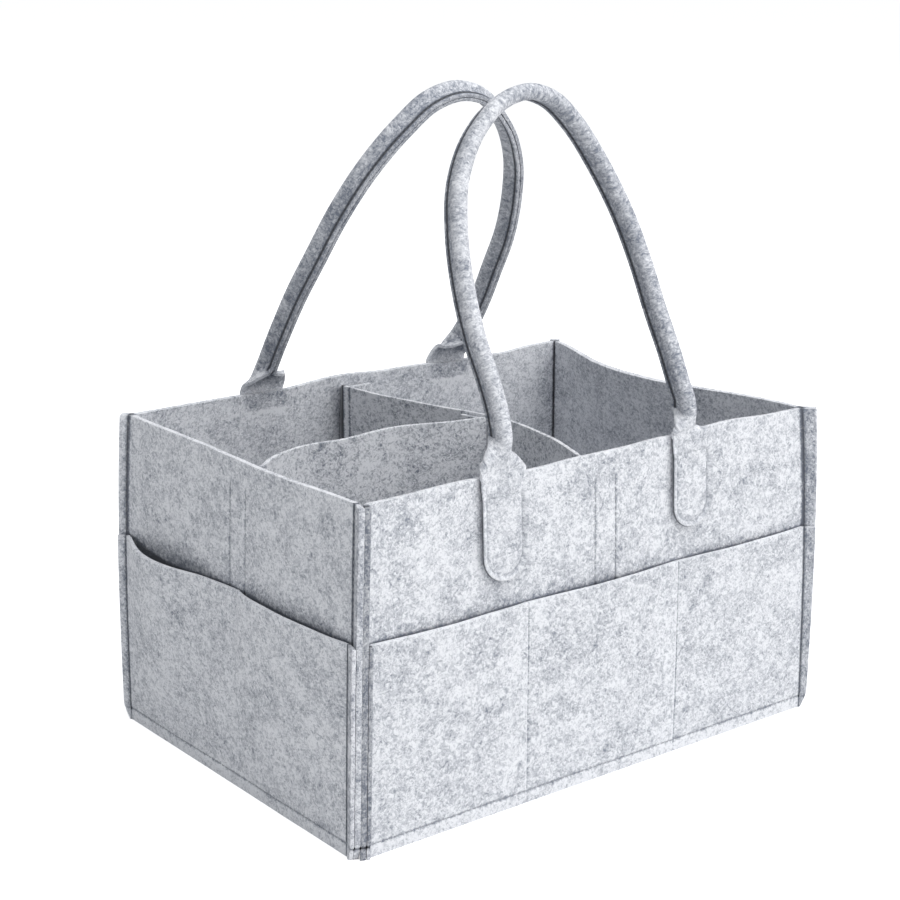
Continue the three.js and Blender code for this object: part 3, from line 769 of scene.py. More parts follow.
def pocket_fullness(m, name):
    """How far the felt of a side's pockets stands off the wall, as a function of place."""
    pockets = pockets_of(m, name)

    def fullness(share, z):
        share, z = np.broadcast_arrays(share, z)
        total = np.zeros(share.shape)
        up = np.clip(z / m.pocket_height, 0, 1)
        for low, high, depth, skew, mouth in pockets:
            t = np.clip((share - low) / (high - low), 0, 1)
            swell = depth * np.sin(math.pi * t**skew) ** 2 * up**1.5
            open_mouth = mouth * (1 - np.abs(2 * t - 1) ** 6) * up**2
            pillow = 0.6 * np.sin(math.pi * t) ** 0.7 * np.sin(math.pi * np.clip((z - 7) / 108, 0, 1)) ** 0.7
            total = np.where((share >= low) & (share <= high), swell + open_mouth + pillow, total)
        return total

    return fullness


def pocket_seams(m, side):
    return [-m.pocket_seam_spacing / 2, m.pocket_seam_spacing / 2] if side.is_long else []


def make_pocket(m, name, material):
    side, tape = side_named(name), TAPE_MIDDLES.get(name)
    seams_at = pocket_seams(m, side)
    piece, q, x, z, border = panel_sheet(
        m, side, f"{name}_pocket_felt", 79 if side.is_long else 55, seams_at, panel_rows(m, m.pocket_height),
        m.pocket_offset, pocket_fullness(m, name),
    )
    hem = z - hem_line(m, side, x)
    seam = np.maximum(fin_seam(q), line_near(hem, 0.7))
    # lit is a painted highlight below the hem and just left of each pocket seam; corner_shade adds painted shade
    lit = 0.5 * ease(-hem / 1.5)
    for at in seams_at:
        seam = np.maximum(seam, line_near(x - at - SEAM_SHIFT, 0.55))
        lit = np.maximum(lit, 0.9 * line_near(x - at + 0.7, 0.45))
    if tape is not None:
        seam = np.maximum(seam, 0.22 * line_near(tape_outline(m, x, z, tape), 1.2))
    along = run_along(m, side, q) + side.seed * 61
    thicken(piece, m.pocket_felt, along, z + 400, seam, border, lip=0.4, shade=corner_shade(side, q) - 0.45 * lit)
    flat = (panel_width(m, side), m.pocket_height)
    hand_over(piece, material, "basket", f"{name}_pocket")


class CADDY_OT_walls(Operator):
    """Sew the four felt walls with their corner fins"""

    bl_idname = "caddy.walls"
    bl_label = "Walls"

    def execute(self, context):
        material = felt_material(context, "wall_felt", 1.3)
        for name in SIDES:
            make_wall(measures(context), name, material)
        return {"FINISHED"}


class CADDY_OT_pockets(Operator):
    """Sew the pocket panels onto the walls"""

    bl_idname = "caddy.pockets"
    bl_label = "Pockets"

    def execute(self, context):
        material = felt_material(context, "pocket_felt", 5.9)
        for name in SIDES:
            make_pocket(measures(context), name, material)
        return {"FINISHED"}


def edit_selected(piece, kind, wanted):
    """Enters edit mode with just those edges or faces of a piece selected that are wanted."""
    bpy.context.view_layer.objects.active = piece
    bpy.ops.object.mode_set(mode="EDIT")
    bpy.ops.mesh.select_mode(type=kind)
    bpy.ops.mesh.select_all(action="DESELECT")
    bpy.ops.object.mode_set(mode="OBJECT")
    for part in piece.data.edges if kind == "EDGE" else piece.data.polygons:
        part.select = bool(wanted(part))
    bpy.ops.object.mode_set(mode="EDIT")


class CADDY_OT_floor(Operator):
    """Make the floor panel with its edge turned down inside the walls"""

    bl_idname = "caddy.floor"
    bl_label = "Floor panel"

    def execute(self, context):
        m = measures(context)
        clear_selection()
        half_x, half_y = (
            reach(m, FRONT, m.floor_rise) - m.wall_felt / 2 - m.gap for reach in (half_width, stand_off)
        )
        bpy.ops.mesh.primitive_cube_add(size=1, location=(0, 0, m.floor_rise / 2 * MM))
        piece = bpy.context.object
        piece.name = piece.data.name = "floor_panel_felt"
        piece.scale = (2 * half_x * MM, 2 * half_y * MM, m.floor_rise * MM)
        bpy.ops.object.transform_apply(location=True, rotation=True, scale=True)
        mesh = piece.data
        height = lambda index: mesh.vertices[index].co.z
        edit_selected(piece, "EDGE", lambda edge: abs(height(edge.vertices[0]) - height(edge.vertices[1])) > 1e-4)
        bpy.ops.mesh.bevel(offset=7 * MM, segments=6, affect="EDGES")
        edit_selected(piece, "FACE", lambda face: face.normal.z < -0.9)
        bpy.ops.mesh.delete(type="FACE")
        edit_selected(piece, "FACE", lambda face: face.normal.z > 0.9)
        bpy.ops.mesh.bevel(offset=4.2 * MM, segments=5, affect="EDGES")
        edit_selected(piece, "FACE", lambda face: face.normal.z > 0.9999)
        bpy.ops.mesh.inset(thickness=1.6 * MM)
        bpy.ops.object.mode_set(mode="OBJECT")
        solidify = piece.modifiers.new("Felt", "SOLIDIFY")
        solidify.thickness = m.wall_felt * MM
        solidify.offset = -1
        apply_modifiers(piece)
        points = np.array([v.co for v in mesh.vertices])
        set_attribute(mesh, "felt_place", points + [1.1, 0.4, 0])
        for name in ("seam_and_painted_shade", "edge_highlight"):
            set_attribute(mesh, name, np.zeros(len(points)))
        bpy.ops.object.shade_smooth_by_angle(angle=math.radians(40))
        hand_over(
            piece, felt_material(context, "floor_felt", 9.1, tone=0.97), "basket", "base_panel",
        )
        return {"FINISHED"}


# ---- handles


# Course of each loop from its end to its top: shares of its height, of half its spacing and of its reach
FRONT_COURSE = (
    (0, 1, 0), (0.02, 1, 0), (0.055, 0.985, -0.034), (0.1, 0.957, -0.056), (0.17, 0.933, 0.02),
    (0.26, 0.929, 0.155), (0.37, 0.929, 0.355), (0.5, 0.911, 0.545), (0.64, 0.847, 0.735),
    (0.78, 0.713, 0.912), (0.9, 0.501, 0.995), (0.975, 0.26, 1.008), (1, 0, 1),
)
BACK_COURSE = (
    (0, 1, 0), (0.02, 1, 0), (0.055, 1.02, 0.004), (0.1, 1.045, 0.055), (0.17, 1.062, 0.15),
    (0.26, 1.06, 0.265), (0.37, 1.037, 0.396), (0.5, 0.991, 0.562), (0.64, 0.902, 0.711),
    (0.78, 0.747, 0.852), (0.9, 0.513, 0.953), (0.975, 0.27, 0.992), (1, 0, 1),
)


def handle_facts(m, which):
    """What sets the two handles apart. closing says for the left and right half of the strip at its
    left end, then at its right end, how far above the rim it starts to fold and over what length,
    and power how quickly it folds at first. A creased strip is turned back flat behind itself before
    it closes. shift is how far its ends are sewn to the right, and right_share how long the right
    end is against the left."""
    if which == "front":
        return SimpleNamespace(
            side=FRONT, course=FRONT_COURSE, height=m.front_height, reach=m.front_reach, spacing=m.front_spacing,
            middle=-4.1, closing=((3.5, 16.0), (0.5, 15.0), (4.0, 9.0), (0.0, 3.5)), power=1.0,
            creased=True, shift=(2.7, 0.5), right_share=0.945, seed=3,
        )
    return SimpleNamespace(
        side=BACK, course=BACK_COURSE, height=m.back_height, reach=m.back_reach, spacing=m.back_spacing,
        middle=-0.1, closing=((0.5, 24.0), (0.5, 21.0), (0.5, 21.0), (0.5, 24.0)), power=0.65,
        creased=False, shift=(0.0, 0.0), right_share=1.0, seed=8,
    )


def tab_middles(h):
    return (h.middle - h.spacing / 2 + h.shift[0], h.middle + h.spacing / 2 + h.shift[1])


def loop_path(h):
    """The middle line of a handle's strip from end to end as (along the wall, inward, up) from its
    place at the rim, with the directions across the strip and into its fold."""
    up, across, inward = np.array(h.course, float).T
    half = h.spacing / 2 * across
    near = 1 - ease(h.height * up / 22)
    left, right = (
        np.stack([h.middle + sign * half + shift * near, h.reach * inward, h.height * up], axis=-1)
        for sign, shift in zip((-1, 1), h.shift)
    )
    line = smooth_line(np.concatenate([left, right[-2::-1]]), 24)
    along = distance_along(line)
    forward = unit(np.gradient(line, along, axis=0))
    plane = unit(np.array([0, h.height, -h.reach]))
    inward = unit(plane - forward * (forward @ plane)[:, None])
    return SimpleNamespace(
        line=line, along=along, length=along[-1], inward=inward, sideways=np.cross(inward, forward)
    )


def half_section(m, fold, reach, creased):
    """Half of the strip's section folded by a share of the full fold: (across, inward) at distances
    reach from the strip's middle line, as shares of its half width."""
    tube = (m.bore + m.felt) / 2
    seam = 3.0 + m.felt / 2
    half_gap = (m.felt + m.gap) / 2
    tube_turn = math.pi - math.asin((half_gap + seam) / (tube + seam))
    lengths = (tube * tube_turn, seam * (tube_turn - math.pi / 2), m.seam_depth)
    total = sum(lengths)
    width = m.tab_radius + (total - m.tab_radius) * fold
    arc = np.linspace(0, total, 400)
    curvature = np.where(arc < lengths[0], 1 / tube, np.where(arc < lengths[0] + lengths[1], -1 / seam, 0))
    angle = np.concatenate([[0], np.cumsum((curvature[1:] + curvature[:-1]) / 2 * arc[1])])
    if creased:
        crease = total * (1 - 0.5 * min(fold / 0.55, 1))
        closed = ease((fold - 0.3) / 0.7)
        angle = angle * closed + math.pi * np.clip((arc - crease) / (1.3 * math.pi), 0, 1) * (1 - closed)
    else:
        angle = angle * fold
    middle, step = (angle[1:] + angle[:-1]) / 2, arc[1] * width / total
    across, inward = (np.concatenate([[0], np.cumsum(wave(middle) * step)]) for wave in (np.cos, np.sin))
    at = np.asarray(reach) * total
    return np.interp(at, arc, across), np.interp(at, arc, inward), np.interp(at, arc, angle)


def fold_at(h, path, sigma, s):
    """Share of the full fold of either half of the strip, at a distance along the loop."""
    half = np.where(s < path.length / 2, np.where(sigma < 0, 0, 1), np.where(sigma > 0, 2, 3))
    start, span = np.array(h.closing).T
    share = np.clip((np.minimum(s, path.length - s) - start[half]) / span[half], 0, 1)
    return 1 - (1 - share) ** h.power


def from_tab_edge(m, x, z):
    """Distance of a point of a tab from the tab's edge."""
    below = np.maximum(m.tab_centre - z, 0)
    return m.tab_radius - np.where(z < m.tab_centre, np.hypot(x, below), np.abs(x))


def tab_height(m, h, middle, z):
    """Height of a place on a tab, z being its height on a tab of the full length."""
    return m.wall_height - (m.wall_height - z) * np.where(np.asarray(middle) > h.middle, h.right_share, 1.0)


def tab_point(m, h, middle, x, z, lift):
    """A point of a sewn tab, x from its middle line, on its middle layer plus a lift outward. The tab
    is puffed up inside its stitching and at its edge, and lies flatter where it nears the rim."""
    inside = from_tab_edge(m, x, z)
    z = tab_height(m, h, middle, z)
    puff = 0.35 * ease((inside - m.edge_margin) / 3) + 1.5 * ease((m.edge_margin - inside) / m.edge_margin)
    free = ease((z - 168) / 10)
    puff = puff * (1 - free) + 0.15 * free
    share = (middle + x) / half_width(m, h.side, z)
    out = stand_off(m, h.side, z) + slack(m, h.side, share, z) * (1 - ease((z - 165) / 15)) + m.tab_offset + puff
    return h.side.world(middle + x, out + lift, z)


def tab_place(m, sigma, r):
    """Place on the tab, across it and up, of a point of the strip that lies on one of its ends."""
    x = m.tab_radius * sigma
    low = m.tab_centre - np.sqrt(np.maximum(m.tab_radius**2 - x**2, 0))
    return x, low + (m.wall_height - low) * np.clip(np.where(r < 0, 1 + r, 2 - r), 0, 1)


def handle_surface(m, h, path, sigma, r, lift=0.0):
    """A point of the handle strip: sigma from -1 to 1 across it, r from -1 to 0 along the left tab,
    0 to 1 along the loop and 1 to 2 along the right tab; lift is off its outer face."""
    sigma, r = np.broadcast_arrays(np.asarray(sigma, float), np.asarray(r, float))
    points = np.zeros((*sigma.shape, 3))
    left, right = tab_middles(h)
    tab = (r < 0) | (r > 1)
    x, z = tab_place(m, sigma, r)
    middle, x = np.where(r < 0.5, left, right), np.where(r < 0.5, x, -x)
    points[tab] = tab_point(m, h, middle[tab], x[tab], z[tab], lift)
    loop = ~tab
    if loop.any():
        s = np.clip(r[loop], 0, 1) * path.length
        fold = fold_at(h, path, sigma[loop], s)
        across, depth, angle = np.zeros((3, len(s)))
        for value in np.unique(fold):
            same = fold == value
            section = half_section(m, value, np.abs(sigma[loop][same]), h.creased)
            across[same], depth[same], angle[same] = section
        aside = np.sign(sigma[loop]) * (across + lift * np.sin(angle))
        depth = depth - lift * np.cos(angle)
        place = read_at(s, path.along, path.line)
        place += read_at(s, path.along, path.sideways) * aside[:, None]
        place += read_at(s, path.along, path.inward) * depth[:, None]
        settle = 0.15 * (1 - ease(place[:, 2] / 6))
        out = stand_off(m, h.side, m.wall_height) + m.tab_offset + settle - place[:, 1]
        points[loop] = h.side.world(place[:, 0], out, m.wall_height + place[:, 2])
    return points


def tab_seams(m):
    """The stitched outline of a tab and the seam across its top, each as places (across, up)."""
    inset = m.tab_radius - m.edge_margin
    turn = np.linspace(-math.pi / 2, math.pi / 2, 24)
    straight = np.linspace(TAB_SEAM, m.tab_centre, 8)
    outline_x = np.concatenate([[-inset] * 8, inset * np.sin(turn), [inset] * 8])
    outline_z = np.concatenate([straight, m.tab_centre - inset * np.cos(turn), straight[::-1]])
    return (outline_x, outline_z), (np.linspace(-inset, inset, 12), np.full(12, TAB_SEAM))


def stitch_handle(m, h, path, which, sewn_at, threads):
    """Stitches round the two tabs, which stay on the basket, and along the seam of the grip."""
    lift_by = m.felt / 2 - THREAD_SINK
    rows = []
    for middle in tab_middles(h):
        surface = lambda a, b, lift: tab_point(m, h, middle, a, b, lift_by + lift)
        rows += [surface_row(surface, *places) for places in tab_seams(m)]
    stitch_object(m, f"{which}_tab_stitches", rows, threads[0], "basket")
    s = np.linspace(GRIP_SEAM, path.length - GRIP_SEAM, 300) / path.length
    surface = lambda a, b, lift: handle_surface(m, h, path, a, b, lift_by + lift)
    rows = [surface_row(surface, sign * sewn_at, s) for sign in (-1, 1)]
    stitch_object(m, f"{which}_grip_stitches", rows, threads[1], f"{which}_handle")


def make_handle(m, which, material, threads):
    h = handle_facts(m, which)
    path = loop_path(h)
    across = merged_places(np.sin(np.linspace(-math.pi / 2, math.pi / 2, 45))[1:-1], [-1, -0.985, 0.985, 1])
    tab_rows = np.concatenate([[0, 0.02], np.linspace(0.05, 1, 46)])
    neck = np.linspace(0, NECK, 26)[1:]
    grip = np.linspace(NECK, path.length - NECK, 120)[1:-1]
    loop_rows = np.concatenate([neck, grip, path.length - neck[::-1]]) / path.length
    rows = np.concatenate([tab_rows - 1, loop_rows, 2 - tab_rows[::-1]])
    name = f"{which}_handle_felt"
    piece, sigma, r, border = grid_sheet(name, across, rows, lambda a, b: handle_surface(m, h, path, a, b))
    x, z = tab_place(m, sigma, r)
    on_tab = (r < 0) | (r > 1)
    inside = from_tab_edge(m, x, z)
    outline = np.abs(inside - m.edge_margin) + np.where(z < TAB_SEAM + 0.5, 0, 9)
    cross = np.abs(z - TAB_SEAM) + np.where(inside > m.edge_margin, 0, 9)
    s = np.clip(r, 0, 1) * path.length
    part = fold_at(h, path, sigma, s)
    folded = ease((part - 0.8) / 0.2)
    sewn_at = 1 - m.seam_depth * 0.5 / SEWN_HALF
    from_seam = (np.abs(sigma) - sewn_at) * SEWN_HALF
    seam = np.where(on_tab, line_near(np.minimum(outline, cross), 0.7), folded * line_near(from_seam, 0.6))
    flat_along = np.where(r < 0, z - m.wall_height, np.where(r > 1, path.length + m.wall_height - z, s))
    # Painted shade: the folded grips darker all over, the right end's half more, and most on the sides of the tube
    away = ease(np.abs(sigma) / np.where(r < 0.5, 0.9, 0.6) - 0.1)
    shade = (np.where(r < 0.5, 0.16, 0.36) + np.where(r < 0.5, 0.4, 0.2) * away) * folded
    shade = shade + 0.5 * np.where(on_tab, -0.5 * seam, folded * line_near(from_seam, 0.9))
    # Painted shadow in the hollow of the back handle's necks and under the edges of the tabs
    hollow = ease(3.5 * part * (1 - part)) * ease((0.9 - np.abs(sigma)) / 0.2) * (not h.creased)
    under = np.where(border & on_tab, 1.6, np.where(on_tab, 0, 0.75 * hollow))
    thicken(piece, m.felt, x + 300 * h.seed, flat_along, seam, border, lip=0, shade=shade, near=under)
    dress(piece, material)
    rim = stand_off(m, h.side, m.wall_height) + m.tab_offset + m.felt / 2
    outward = -1 if which == "front" else 1
    start, end = ((0, outward * rim * MM, (m.wall_height + up) * MM) for up in (-1.5, 5))
    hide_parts(*[f"{which}_handle_{part}" for part in ("grip", "left_tab", "right_tab")])
    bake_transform(piece)
    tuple(start)
    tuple(end)
    stitch_handle(m, h, path, which, sewn_at, threads)


class CADDY_OT_handles(Operator):
    """Fold and sew the two felt handles, each from one strip"""

    bl_idname = "caddy.handles"
    bl_label = "Handles"

    def execute(self, context):
        material = felt_material(context, "handle_felt", 12.7, contrast=0.9)
        tint = np.array(context.scene.caddy_colours.thread)
        threads = thread_material("tab_thread", list(tint * 1.35)), thread_material("grip_thread", list(tint * 0.4))
        for which in ("front", "back"):
            make_handle(measures(context), which, material, threads)
        return {"FINISHED"}


# ---- the divider insert


def rounded_corner(before, corner, after, radius):
    """The arc that turns a plan line at a corner."""
    incoming, outgoing = unit(corner - before), unit(after - corner)
    turn = math.acos(np.clip(incoming.dot(outgoing), -1, 1))
    side = np.sign(incoming[0] * outgoing[1] - incoming[1] * outgoing[0])
    normal = np.array([-incoming[1], incoming[0]]) * side
    start = corner - incoming * radius * math.tan(turn / 2)
    angles = np.linspace(0, turn, 9)[:, None]
    return start + incoming * radius * np.sin(angles) + normal * radius * (1 - np.cos(angles))


def line_normals(line):
    along = unit(np.gradient(line, axis=0))
    return np.stack([-along[:, 1], along[:, 0]], axis=-1)


def flange_line(end, corner):
    """The folded end of a divider, from its free edge towards the fold."""
    return [end + (corner - end) * t for t in (0, 0.04, 0.2, 0.45, 0.7)]


def cross_run(m):
    """Plan of the cross divider between its folds, from the back wall to the front wall."""
    end_y = stand_off(m, FRONT, m.divider_top) + m.flange_offset
    share = np.linspace(0, 1, 145)
    bowed = CROSS_BOW * np.sin(math.pi * share**1.45)
    return np.stack([CROSS_BACK + CROSS_SHIFT * share + bowed, end_y * (1 - 2 * share)], axis=-1)


def cross_line(m):
    run = cross_run(m)
    back_end, front_end = run[0] + [FLANGE, 0], run[-1] + [FLANGE, 0]
    folds = (
        rounded_corner(back_end, run[0], run[3], m.fold_radius),
        rounded_corner(run[-4], run[-1], front_end, m.fold_radius),
    )
    return np.concatenate(
        [flange_line(back_end, run[0]), folds[0], run[2:-2], folds[1], flange_line(front_end, run[-1])[::-1]]
    )


def long_line(m):
    """Plan of the long divider, from its folded end at the left wall along its waves to the part that
    is sewn flat beside the cross divider."""
    wall_x = -(half_width(m, FRONT, m.divider_top) + m.flange_offset)
    run = smooth_line(cross_run(m), 3)
    beside = run - line_normals(run) * (m.divider_felt + m.gap)
    sewn = beside[beside[:, 1] > -9]
    tee = sewn[-1]
    sewn = sewn[sewn[:, 1] < tee[1] + 20][::-1]
    sewn = sewn[len(sewn) // 3 :]
    corner = np.array([wall_x, LONG_FRONT])
    chord = tee - corner
    aside = np.array([-chord[1], chord[0]])
    waves = ((0.137, 0.092), (0.28, 0.128), (0.41, 0.116), (0.67, 0.112), (0.875, 0.032))
    bends = [corner + chord * a + aside * b for a, b in waves]
    slack_run = smooth_line([corner, *bends, tee], 12)
    wall_end = corner + [0, FLANGE]
    return np.concatenate(
        [
            flange_line(wall_end, corner),
            rounded_corner(wall_end, corner, slack_run[3], m.fold_radius),
            slack_run[3:-3],
            rounded_corner(slack_run[-4], tee, sewn[0], m.fold_radius),
            sewn,
        ]
    )


def make_divider(m, name, line, material, seed):
    line = line[np.concatenate([[True], np.linalg.norm(np.diff(line, axis=0), axis=1) > 0.25])]
    along = distance_along(line)
    normals = line_normals(line)
    bottom, top = m.divider_bottom, m.divider_top
    rows = merged_places([bottom, bottom + 1], np.linspace(bottom + 4, top - 3, 30), [top - 1.5, top - 0.7, top])
    held = np.minimum(ease((along - 24) / 30), ease((along[-1] - 24 - along) / 30))

    def place(index, z):
        i = index.astype(int)
        up = (z - bottom) / (top - bottom)
        sway = 0.9 * ripple(along[i], seed, 120) * held[i] * np.sin(math.pi * np.clip(1 - up, 0, 1) * 0.8)
        ends = 1 - ease((np.minimum(along[i], along[-1] - along[i]) - 14) / 8)
        drop = (0.6 * (ripple(along[i], seed + 1, 170) + 1) * held[i] + 2.0 * ends) * ease(up)
        return np.concatenate([line[i] + normals[i] * sway[:, None], (z - drop)[:, None]], axis=1)

    piece, index, z, border = grid_sheet(f"{name}_felt", np.arange(len(line)).astype(float), rows, place)
    at = along[index.astype(int)]
    # The fold creases are pinched and get a little painted shade
    turned = np.abs(np.concatenate([[0], np.diff(np.unwrap(np.arctan2(normals[:, 1], normals[:, 0])))]))
    crease = np.convolve((turned > 0.12).astype(float), np.ones(3) / 3, mode="same")[index.astype(int)]
    shade = 0 * at
    # Painted shadow in the gap at the cross divider's back fold, a lighter band beside it and a darker line at the
    # stitch row
    if name == "cross_divider":
        shade = 2.0 * line_near(at - 21.6, 1.1) - 0.35 * line_near(at - 25.2, 1.4) + 0.8 * line_near(at - 28, 0.8)
    thicken(piece, m.divider_felt, at + 90 * seed, z, 0.25 * crease, border, lip=0.3, shade=shade, edge=0.1)
    hand_over(piece, material, "divider_insert", name)


def upright_rows(m, line, insets):
    """Upright rows of stitches on both faces of a divider, at distances from its start."""
    along, normals = distance_along(line), line_normals(line)
    z = np.linspace(m.divider_bottom + 3, m.divider_top - 3, 12)
    rows = []
    for inset in insets:
        for face in (-1, 1):
            normal = np.array([*unit(read_at(inset, along, normals) * face), 0])
            points = [*read_at(inset, along, line), 0] + normal * (m.divider_felt / 2 - 0.1)
            rows.append((points + np.outer(z, [0, 0, 1]), np.tile(normal, (12, 1))))
    return rows


class CADDY_OT_divider(Operator):
    """Fold the T-shaped divider insert and stitch its ends"""

    bl_idname = "caddy.divider"
    bl_label = "Divider insert"

    def execute(self, context):
        m = measures(context)
        material = felt_material(context, "divider_felt", 17.2, tone=0.94, contrast=1.3)
        thread = thread_material("divider_thread", [c * 0.35 for c in context.scene.caddy_colours.thread])
        cross, long = cross_line(m), long_line(m)
        make_divider(m, "cross_divider", cross, material, 5)
        make_divider(m, "long_divider", long, material, 14)
        cross_end, long_end = distance_along(cross)[-1], distance_along(long)[-1]
        rows = [
            *upright_rows(m, cross, (3.0, 17.5, 28.0, cross_end - 23.5, cross_end - 17.5, cross_end - 3.0)),
            *upright_rows(m, long, (3.0, 17.5, 24.5, long_end - 16, long_end - 3.0)),
        ]
        stitch_object(m, "divider_stitches", rows, thread, "divider_insert")
        return {"FINISHED"}


# ---- hook-and-loop tape


def make_tape(m, name, wall, offset, straight, material, body):
    """A strip of tape along a wall at an offset from it. A straight one stands upright, as it does on
    a divider's folded end; the others follow the wall."""
    side, half = side_named(wall), m.tape_width / 2
    top, low = m.divider_top - m.divider_felt, m.divider_bottom + 1.7
    across = merged_places([-half, -half + 0.5], np.linspace(-half + 2, half - 2, 7), [half - 0.5, half])
    rows = merged_places([low, low + 0.5], np.linspace(low + 4, top - 4, 30), [top - 0.5, top])

    def place(a, z):
        x = TAPE_MIDDLES[wall] + a
        if straight:
            return side.world(x, stand_off(m, side, np.full_like(z, m.divider_top)) + offset, z)
        return side.world(x, stand_off(m, side, z) + slack(m, side, x / half_width(m, side, z), z) + offset, z)

    piece, a, z, border = grid_sheet(f"{name}_tape", across, rows, place)
    seam = line_near(np.minimum(half - np.abs(a), np.minimum(z - low, top - z)) - 1.2, 0.6)
    thicken(piece, m.tape_thickness, a, z, seam, border, lip=0.15)
    hand_over(piece, material, body, name)


class CADDY_OT_tapes(Operator):
    """Sew the loop tape in the walls and the hook tape on the divider's folded ends"""

    bl_idname = "caddy.tapes"
    bl_label = "Hook and loop tape"

    def execute(self, context):
        m = measures(context)
        colours = context.scene.caddy_colours
        loop = tape_material("loop_tape", list(colours.loop_tape), 0.7)
        hook = tape_material("hook_tape", list(colours.hook_tape), 1.1)
        for wall in ("front", "back", "left"):
            make_tape(m, f"{wall}_loop_strip", wall, m.loop_offset, False, loop, "basket")
        ends = {"front": "cross_divider_front", "back": "cross_divider_back", "left": "long_divider_wall"}
        for wall, end in ends.items():
            make_tape(m, f"{end}_hook", wall, m.hook_offset, True, hook, "divider_insert")
        return {"FINISHED"}


# ---- the basket's stitches


def basket_rows(m, name):
    """Rows of stitches on one side: hem, corner fins, pocket seams, the backs of the tabs' seams and
    the outline of the tape."""
    side, tape = side_named(name), TAPE_MIDDLES.get(name)
    wall_face, pocket_face = m.wall_felt / 2 - BASKET_SINK, m.pocket_offset + m.pocket_felt / 2 - BASKET_SINK
    fullness = pocket_fullness(m, name)
    pocket = lambda q, z, lift: panel(m, side, q, z, pocket_face + lift, fullness)
    wall = lambda q, z, lift: panel(m, side, q, z, wall_face + lift)
    q = np.linspace(-1, 1, 160)
    rows = [surface_row(pocket, q, hem_line(m, side, q * flat_half(m, side, m.hem_height, q)))]
    for at in (-FIN_SEAM, FIN_SEAM):
        rows.append(surface_row(pocket, at, np.linspace(6, m.pocket_height - 2, 40)))
        rows.append(surface_row(wall, at, np.linspace(m.pocket_height + 2, m.wall_height - 3, 30)))
    for at in pocket_seams(m, side):
        z = np.linspace(m.hem_height + 1, m.pocket_height - 1.5, 40)
        rows.append(surface_row(pocket, (at + SEAM_SHIFT) / flat_half(m, side, m.pocket_height, at), z))
    if side.is_long:
        h = handle_facts(m, name)
        outline, cross = tab_seams(m)
        for middle in tab_middles(h):
            half = flat_half(m, side, m.wall_height, middle)
            back = lambda a, b, lift: panel(m, side, (middle + a) / half, b, -wall_face - lift)
            rows.append(surface_row(back, outline[0], tab_height(m, h, middle, outline[1])))
            rows.append(surface_row(back, *cross))
    if tape is not None:
        half = flat_half(m, side, m.wall_height, tape)
        for at in (tape - m.tape_seam, tape + m.tape_seam):
            rows.append(surface_row(wall, at / half, np.linspace(m.pocket_height - 8, TAPE_TOP, 30)))
        across = np.linspace(tape - m.tape_seam, tape + m.tape_seam, 10) / half
        rows.append(surface_row(wall, across, TAPE_TOP))
    return rows


class CADDY_OT_seams(Operator):
    """Stitch the hem, the corner fins, the pocket seams and the tapes' outlines on the basket"""

    bl_idname = "caddy.seams"
    bl_label = "Basket seams"

    def execute(self, context):
        m = measures(context)
        thread = thread_material("basket_thread", list(context.scene.caddy_colours.thread))
        rows = [row for name in SIDES for row in basket_rows(m, name)]
        stitch_object(m, "basket_stitches", rows, thread, "basket")
        return {"FINISHED"}


# ---- stage


def area_light(name, place, aim, size, power, tint):
    data = bpy.data.lights.new(name, "AREA")
    data.shape = "RECTANGLE"
    data.size, data.size_y = size
    data.energy = power
    data.color = tint
    light = bpy.data.objects.new(name, data)
    direction = Vector(aim) - Vector(place)
    light.matrix_world = Matrix.Translation(place) @ direction.to_track_quat("-Z", "Y").to_matrix().to_4x4()
    bpy.context.scene.collection.objects.link(light)


def lit_and_seen(tree, output, lighting, seen):
    """Lights the scene with one shader and shows the camera another."""
    camera_ray = add_node(tree, "ShaderNodeLightPath").outputs["Is Camera Ray"]
    mixed = add_node(tree, "ShaderNodeMixShader", {0: camera_ray, 1: lighting.outputs[0], 2: seen.outputs[0]})
    add_node(tree, output, {"Surface": mixed.outputs[0]})


# The camera: focal length in millimetres, place, and the directions to its right, up and back
LENS = 78.963
CAMERA_PLACE = (-0.668280, -0.831462, 0.456704)
CAMERA_AXES = (
    (0.786876, -0.617101, 0.003663), (0.164163, 0.215042, 0.962708), (-0.594876, -0.75693, 0.270516),
)


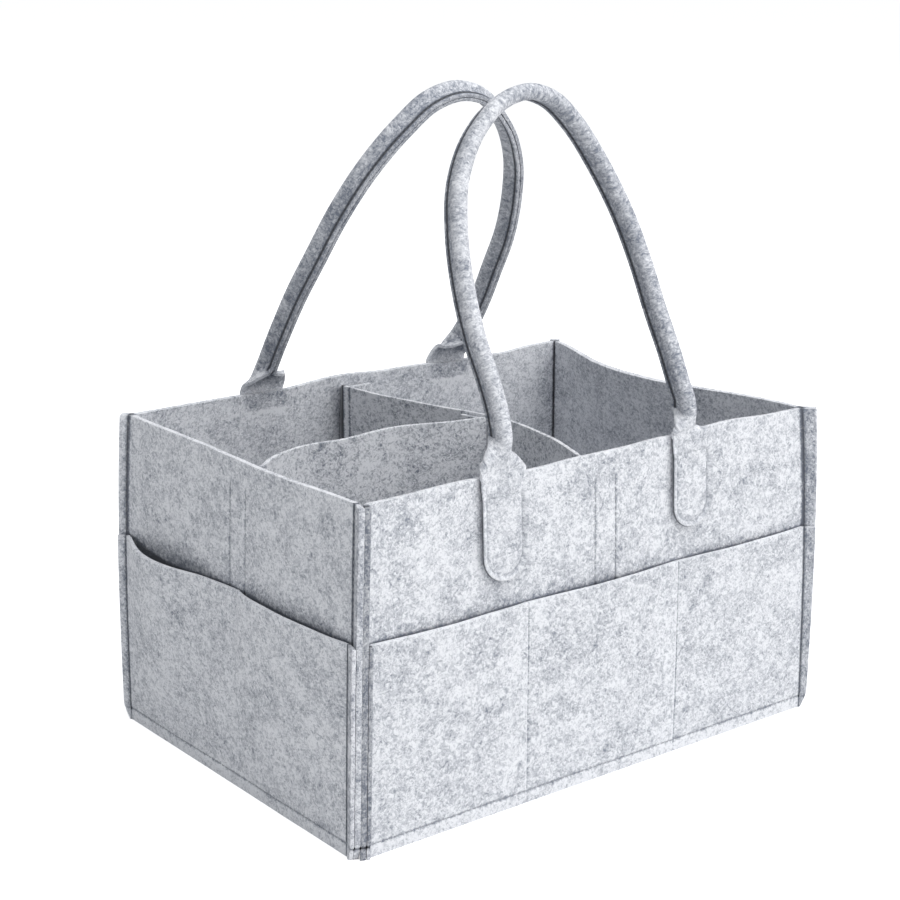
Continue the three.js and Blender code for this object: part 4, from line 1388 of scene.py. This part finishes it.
class CADDY_OT_stage(Operator):
    """Set the pale floor, the soft studio light and the camera"""

    bl_idname = "caddy.stage"
    bl_label = "Stage"

    def execute(self, context):
        scene = context.scene
        clear_selection()
        bpy.ops.mesh.primitive_plane_add(size=60, location=(0, 0, 0))
        floor = bpy.context.object
        floor.name = "studio_floor"
        material, tree = new_material("studio_floor", scene.caddy_colours.floor)
        matt = add_node(tree, "ShaderNodeBsdfDiffuse", {"Color": (*scene.caddy_colours.floor, 1)})
        glow = add_node(tree, "ShaderNodeEmission", {"Color": (1, 1, 1, 1), "Strength": 0.62})
        both = add_node(tree, "ShaderNodeAddShader", {0: matt.outputs[0], 1: glow.outputs[0]})
        lit_and_seen(tree, "ShaderNodeOutputMaterial", matt, both)
        floor.data.materials.append(material)

        world = scene.world or bpy.data.worlds.new("studio")
        scene.world = world
        world.use_nodes = True
        tree = world.node_tree
        tree.nodes.clear()
        soft = add_node(tree, "ShaderNodeBackground", {"Color": (0.95, 0.97, 1.0, 1), "Strength": 0.42})
        white = add_node(tree, "ShaderNodeBackground", {"Color": (1, 1, 1, 1), "Strength": 1.0})
        lit_and_seen(tree, "ShaderNodeOutputWorld", soft, white)

        area_light("key", (0.75, -1.9, 1.35), (0, 0, 0.12), (2.0, 1.6), 23.5, (1.0, 0.99, 0.98))
        area_light("top", (0.1, -0.5, 2.2), (0, 0, 0.1), (1.8, 1.8), 30.0, (1.0, 1.0, 1.0))

        camera = bpy.data.cameras.new("camera")
        camera.sensor_width = 36.0
        camera.lens = LENS
        camera.clip_end = 100.0
        view = bpy.data.objects.new("camera", camera)
        view.matrix_world = Matrix.Translation(CAMERA_PLACE) @ Matrix(CAMERA_AXES).transposed().to_4x4()
        scene.collection.objects.link(view)
        scene.camera = view
        scene.view_settings.view_transform = "Standard"
        return {"FINISHED"}


class CADDY_PT_sidebar(Panel):
    """Lists the caddy's sizes, colours and pieces"""

    bl_idname = "CADDY_PT_sidebar"
    bl_label = "Felt Diaper Caddy"
    bl_space_type = "VIEW_3D"
    bl_region_type = "UI"
    bl_category = "Caddy"

    def draw(self, context):
        for group in GROUPS:
            box = self.layout.box()
            values = getattr(context.scene, group)
            for name in values.__annotations__:
                box.prop(values, name)
        for operator in OPERATORS:
            self.layout.operator(operator.bl_idname)


GROUPS = {
    "caddy_basket": CaddyBasketSizes,
    "caddy_handles": CaddyHandleSizes,
    "caddy_sewing": CaddySewingSizes,
    "caddy_colours": CaddyColours,
}
OPERATORS = (
    CADDY_OT_stage,
    CADDY_OT_walls,
    CADDY_OT_pockets,
    CADDY_OT_floor,
    CADDY_OT_handles,
    CADDY_OT_divider,
    CADDY_OT_tapes,
    CADDY_OT_seams,
)


def register():
    for cls in (*GROUPS.values(), *OPERATORS, CADDY_PT_sidebar):
        bpy.utils.register_class(cls)
    for name, cls in GROUPS.items():
        setattr(bpy.types.Scene, name, PointerProperty(type=cls))


def unregister():
    for name in GROUPS:
        delattr(bpy.types.Scene, name)
    for cls in reversed((*GROUPS.values(), *OPERATORS, CADDY_PT_sidebar)):
        bpy.utils.unregister_class(cls)


def main():
    register()
    bpy.ops.caddy.stage()
    bpy.ops.caddy.walls()
    bpy.ops.caddy.pockets()
    bpy.ops.caddy.floor()
    bpy.ops.caddy.handles()
    bpy.ops.caddy.divider()
    bpy.ops.caddy.tapes()
    bpy.ops.caddy.seams()


if __name__ == "__main__":
    main()
